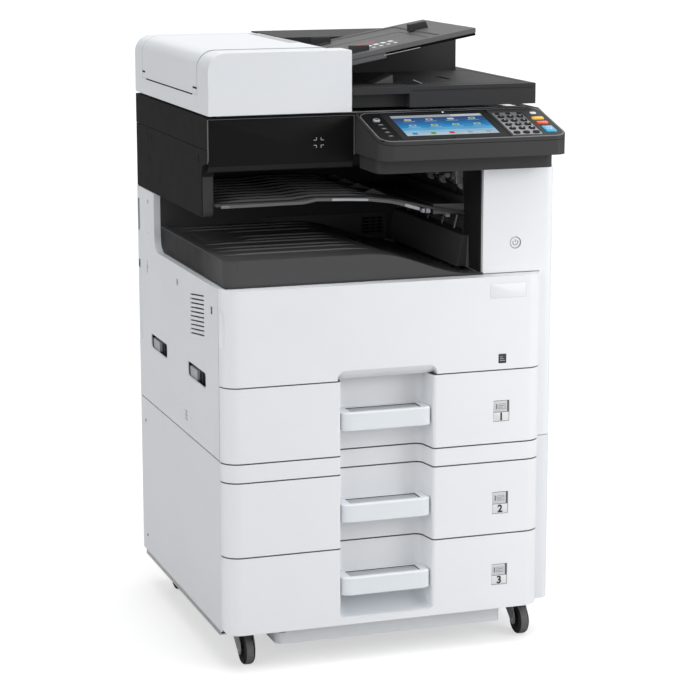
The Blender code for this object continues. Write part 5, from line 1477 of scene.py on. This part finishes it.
def platen_cover():
    """Black cover over the glass, its rear housing and paper entry."""
    low, high = node_box("adf_base")
    well = box((0.2620, 0.3400), (0.0900, 0.3395), (0.9634, 1.0100))
    refine("adf_base", "cover_black", 0.0020, 3, bm=carved(cad("adf_base"), well))
    # black box painted as the shade inside the exit mouth
    mouth = box((0.2612, 0.2624), (0.1040, 0.3360), (0.9640, 0.9900))
    piece("exit_mouth", mouth, "void", "adf")
    stop = prism([(0.3070, 0.9628), (0.3420, 0.9628), (0.3412, 0.9780)], (0.1120, 0.1500), "y")
    piece("paper_stop", stop, "doc_grey", "adf", 0.0008)
    catch = prism([(0.3510, 0.9628), (0.3850, 0.9628), (0.3680, 0.9705)], (0.0880, 0.1000), "y")
    piece("paper_catch", catch, "soft_black", "adf", 0.0005)
    # pale strip painted as the glint on the catch's edge
    glint = path_bar([(0.3690, 0.0876, 0.9700), (0.3845, 0.0876, 0.9634)], 0.0010, 0.0006, (0, -1, 0))
    piece("paper_catch_glint", glint, "paper_grey", "adf")
    # dark strip painted as the shade of the parting groove on the cover front
    line = path_bar([(x, low.y - 0.0002, 0.9565) for x in (0.350, high.x - 0.004)],
                    0.0010, 0.0006, (0, -1, 0))
    piece("cover_front_line", line, "soft_black", "adf")
    # black slot and dark ring painted as the shade in the slot and the top groove
    slot = cushion((0.4570, 0.4660), (0.160, 0.2150), 0.0035, 0.9624, 0.9634, 0.0003)
    piece("cover_top_slot", slot, "void", "adf")
    groove = rim((0.345, 0.560), (0.065, 0.325), 0.010, 0.0012, 0.9627, 0.9633, 8)
    piece("cover_top_line", groove, "soft_black", "adf")
    bump = joined(box((0.5445, high.x - 0.001), (0.440, 0.520), (0.9600, 0.9900)),
                  box((0.5445, 0.560), (0.430, 0.530), (0.9600, 0.9780)))
    piece("cover_hinge_hump", bump, "cover_black", "adf", 0.0030, 3)
    pad = cushion((0.2570, 0.5640), (0.0755, 0.3370), 0.004, 0.9292, 0.9540, 0.0010)
    piece("platen_pad", pad, "foam", "adf")
    # dark strips painted as the shade of the grooves on the rear housing
    lines = merge(*[box((0.262, 0.540), (high.y - 0.0002, high.y + 0.0003), around(z, 0.0012))
                    for z in (0.975, 1.010)])
    piece("rear_housing_lines", lines, "soft_black", "adf")
    for i, x in enumerate((0.300, 0.500)):
        hinge = joined(box((x - 0.020, x + 0.020), (0.500, high.y - 0.0005), (0.9248, 0.9300)),
                       rod((x - 0.018, 0.5295, 0.9268), (x + 0.018, 0.5295, 0.9268), 0.0022, 20))
        piece(f"feeder_hinge_{i}", hinge, "dark_steel", "adf", 0.0004)


def original_tray():
    """Sloping document tray, its guides, a pictogram card and a moulded end."""
    refine("document_tray", "doc_grey", 0.0014, 3)
    edge = on_tray(rim((0.2700, 0.4040), (0.1010, 0.2560), 0.0030, 0.0014, -0.0022, -0.0017))
    piece("feeding_guide_frame", edge, "soft_black", "doc_tray")
    strokes = []
    for i in range(4):
        x = 0.3120 + 0.0128 * i
        for long, y in ((0.0078, (0.154, 0.170)), (0.0055, (0.128, 0.138))):
            strokes.append(on_tray(cushion((x, x + long), y, 0.0004, -0.0020, -0.0017, 0.00005)))
    red = on_tray(cushion((0.304, 0.340), (0.196, 0.2040), 0.0004, -0.0020, -0.0017, 0.00005))
    piece("feeding_pictogram", merge(*strokes), "print_white", "doc_tray")
    piece("feeding_warning_bar", red, "print_red", "doc_tray")
    stopper = on_tray(prism([(0.4100, -0.0012), (0.4450, -0.0012), (0.4420, 0.0118), (0.4115, 0.0118)],
                            (0.2160, 0.2300), "y"))
    piece("document_stopper", stopper, "charcoal", "doc_tray", 0.0012)
    for name in ("document_guide_front", "document_guide_rear"):
        refine(name, "charcoal", 0.0008)
    # black box painted as the shade under the tray
    under = on_tray(box((0.330, 0.4780), (0.0862, 0.332), (-0.0125, -0.0086)))
    piece("tray_underside", under, "void", "doc_tray", 0.0006)
    root = on_tray(box((0.2485, 0.3180), (0.0862, 0.1060), (-0.0175, -0.0086)))
    piece("tray_root", root, "doc_grey", "doc_tray", 0.0010)
    wire = on_tray(box((0.3139, 0.3780), (0.0854, 0.0860), (-0.0127, -0.0119)))
    piece("tray_wire", wire, "pale_grey", "doc_tray")


# ---- castors and plinth --------------------------------------------------------------------------
def castor(tag):
    """Swivel castor: plate, hooded fork, through bolt and a spoked wheel with a moulded tread."""
    fork_top = node_box(f"castor_fork_{tag}")[1].z
    low, high = node_box(f"castor_wheel_{tag}")
    x, hub_y, hub_z = (low.x + high.x) / 2, (low.y + high.y) / 2, (low.z + high.z) / 2
    radius, half = (high.z - low.z) / 2, (high.x - low.x) / 2
    fork_body, wheel_body = f"castor_{tag}", f"wheel_{tag}"
    pivot_y = hub_y + 0.022
    plate = turned([(0, 0), (0.0150, 0), (0.0198, 0.0012), (0.0200, 0.0040), (0, 0.0040)],
                   (x, pivot_y, fork_top - 0.0040), (0, 0, 1), 40)
    reach = half + 0.0016
    hood = []
    for side in (-1, 1):
        inner, outer = x + side * reach, x + side * (reach + 0.0019)
        cheek = arc((hub_y, hub_z), 0.0085, 175, 330, 8)
        cheek += [(pivot_y + 0.0135, fork_top - 0.0130), (pivot_y + 0.0150, fork_top - 0.0035),
                  (pivot_y - 0.0160, fork_top - 0.0035), (hub_y + 0.0010, fork_top - 0.0085),
                  (hub_y - 0.0065, hub_z + 0.0120)]
        hood.append(prism(cheek, (min(inner, outer), max(inner, outer)), "x"))
    bridge = box((x - reach - 0.0019, x + reach + 0.0019), (pivot_y - 0.0155, pivot_y + 0.0145),
                 (fork_top - 0.0036, fork_top - 0.0012))
    refine(f"castor_fork_{tag}", "castor_grey", 0.0006, bm=joined(plate, *hood, bridge))

    def about_axle(profile, sides, hollow=False):
        """Turned solid from half a profile; a hollow one closes on itself."""
        whole = both_ends(profile)
        bm = turned(whole + whole[:1] if hollow else whole, (x, hub_y, hub_z), (1, 0, 0), sides)
        if hollow:
            bmesh.ops.remove_doubles(bm, verts=bm.verts, dist=1e-6)
        return bm

    bolt = about_axle([(0, -reach - 0.0034), (0.0030, -reach - 0.0034), (0.0036, -reach - 0.0030),
                       (0.0036, -reach - 0.0019), (0.0020, -reach - 0.0018)], 6)
    piece(f"castor_bolt_{tag}", bolt, "steel", fork_body)
    tread = about_axle([(0.0165, -half + 0.0022), (radius - 0.0040, -half + 0.0004),
                        (radius - 0.0012, -half + 0.0022), (radius, -half * 0.45)], 56, True)
    refine(f"castor_wheel_{tag}", "soft_black", 0, bm=tread)
    band = about_axle([(radius - 0.0015, -half * 0.66), (radius - 0.0001, -half * 0.60),
                       (radius + 0.0002, -half * 0.40)], 56, True)
    piece(f"castor_band_{tag}", band, "tyre", wheel_body)
    core = about_axle([(0, -half + 0.0010), (0.0052, -half + 0.0010), (0.0060, -half + 0.0020),
                       (0.0062, -half + 0.0040), (0.0140, -half + 0.0046), (0.0152, -half + 0.0026),
                       (0.0164, -half + 0.0024)], 48)
    piece(f"castor_core_{tag}", core, "soft_black", wheel_body)
    spokes = []
    for i in range(6):
        blade = box((x - half + 0.0030, x + half - 0.0030), (hub_y - 0.0011, hub_y + 0.0011),
                    (hub_z + 0.0055, hub_z + 0.0155))
        spokes.append(turned_about(blade, (x, hub_y, hub_z), "X", 60 * i))
    piece(f"castor_spokes_{tag}", merge(*spokes), "soft_black", wheel_body)
    dust = turned([(0, 0), (0.0120, 0), (0.0120, 0.0030), (0, 0.0030)],
                  (x, pivot_y, fork_top - 0.0066), (0, 0, 1), 28)
    piece(f"castor_race_{tag}", dust, "steel", fork_body)


def base():
    for tag in ("fl", "fr", "rl", "rr"):
        castor(tag)
    low, high = node_box("feeder_plinth")
    plan = rounded((low.x, high.x), (low.y, high.y), (0.0160, 0.0060, 0.0, 0.0), 8)
    inner = rounded((low.x + 0.003, high.x - 0.003), (low.y + 0.003, high.y - 0.003),
                    (0.0130, 0.0040, 0.0, 0.0), 8)
    lip = cad("feeder_plinth")
    shell = carved(prism(plan, (low.z, low.z + 0.020), "z"),
                   prism(inner, (low.z - 0.01, low.z + 0.0178), "z"))
    above = carved(lip, box((low.x - 1, high.x + 1), (low.y - 1, high.y + 1), (low.z - 1, low.z + 0.0195)),
                   box((low.x - 0.001, low.x + 0.016), (low.y - 0.001, low.y + 0.016),
                       (low.z, high.z + 0.001)))
    refine("feeder_plinth", "cool_white", 0.0022, 3, bm=joined(shell, above))


# ---- inside --------------------------------------------------------------------------------------
def dress(node, finish):
    """Give a CAD node that stays in view its finished material."""
    for holder in NODES[node].material_slots:
        holder.material = FINISHES[finish]


def inside():
    """Frames, drawers, toner, drum, fuser and the parts that show when something is open."""
    for node in ("feeder_frame", "main_frame"):
        dress(node, "steel")
    for number in (1, 2, 3):
        body = f"drawer_{number}"
        low, high = node_box(f"drawer_{number}_tray")
        refine(f"drawer_{number}_tray", "pale_grey", 0.0007)
        refine(f"paper_plate_{number}", "steel", 0.0005)
        rear_corner = (low.x, high.y, low.z)
        rear = merge(box_from(rear_corner, (0.150, 0.300), (-0.032, -0.029), (0.004, 0.060)),
                     box_from(rear_corner, (0.150, 0.300), (-0.032, -0.008), (0.004, 0.007)))
        piece(f"rear_fence_{number}", rear, "mid_grey", body, 0.0008)
        side = merge(box_from(low, (0.012, 0.015), (0.110, 0.200), (0.004, 0.055)),
                     box_from(low, (0.004, 0.015), (0.130, 0.180), (0.004, 0.007)))
        piece(f"end_fence_{number}", side, "mid_grey", body, 0.0008)
        scale = merge(*[box((low.x + 0.190 + 0.03 * i, low.x + 0.191 + 0.03 * i),
                            (low.y + 0.0022, low.y + 0.0150), (low.z + 0.0022, low.z + 0.0026))
                        for i in range(6)])
        piece(f"size_scale_{number}", scale, "print_dark", body)
    refine("toner_container", "toner", 0.0012)
    low, high = node_box("toner_container")
    cap = turned([(0, 0), (0.0300, 0), (0.0330, 0.0016), (0.0330, 0.0050), (0, 0.0050)],
                 ((low.x + high.x) / 2, low.y + 0.0002, 0.575), (0, -1, 0), 48)
    piece("toner_cap", cap, "charcoal", "main")
    lever = cushion((0.112, 0.163), (0.571, 0.579), 0.0035, 0, 0.0035, 0.0010)
    piece("toner_lever", on_front(lever, 0, 0, low.y - 0.0049), "cyan_key", "main")
    refine("drum_unit", "charcoal", 0.0010)
    grip = carved(box((0.375, 0.430), (0.0045, 0.0152), (0.535, 0.575)),
                  box((0.382, 0.423), (0.0, 0.010), (0.541, 0.569)))
    piece("drum_grip", grip, "cyan_key", "main", 0.0010)
    refine("fuser_roller", "drum", 0.0006)
    stay = rod((0.030, 0.0300, 0.508), (0.460, 0.0300, 0.508), 0.0022, 14)
    piece("front_stay", stay, "bright_steel", "main")


cavity()
scanner()
panel()
feeder_box()
platen_cover()
original_tray()
base()
inside()
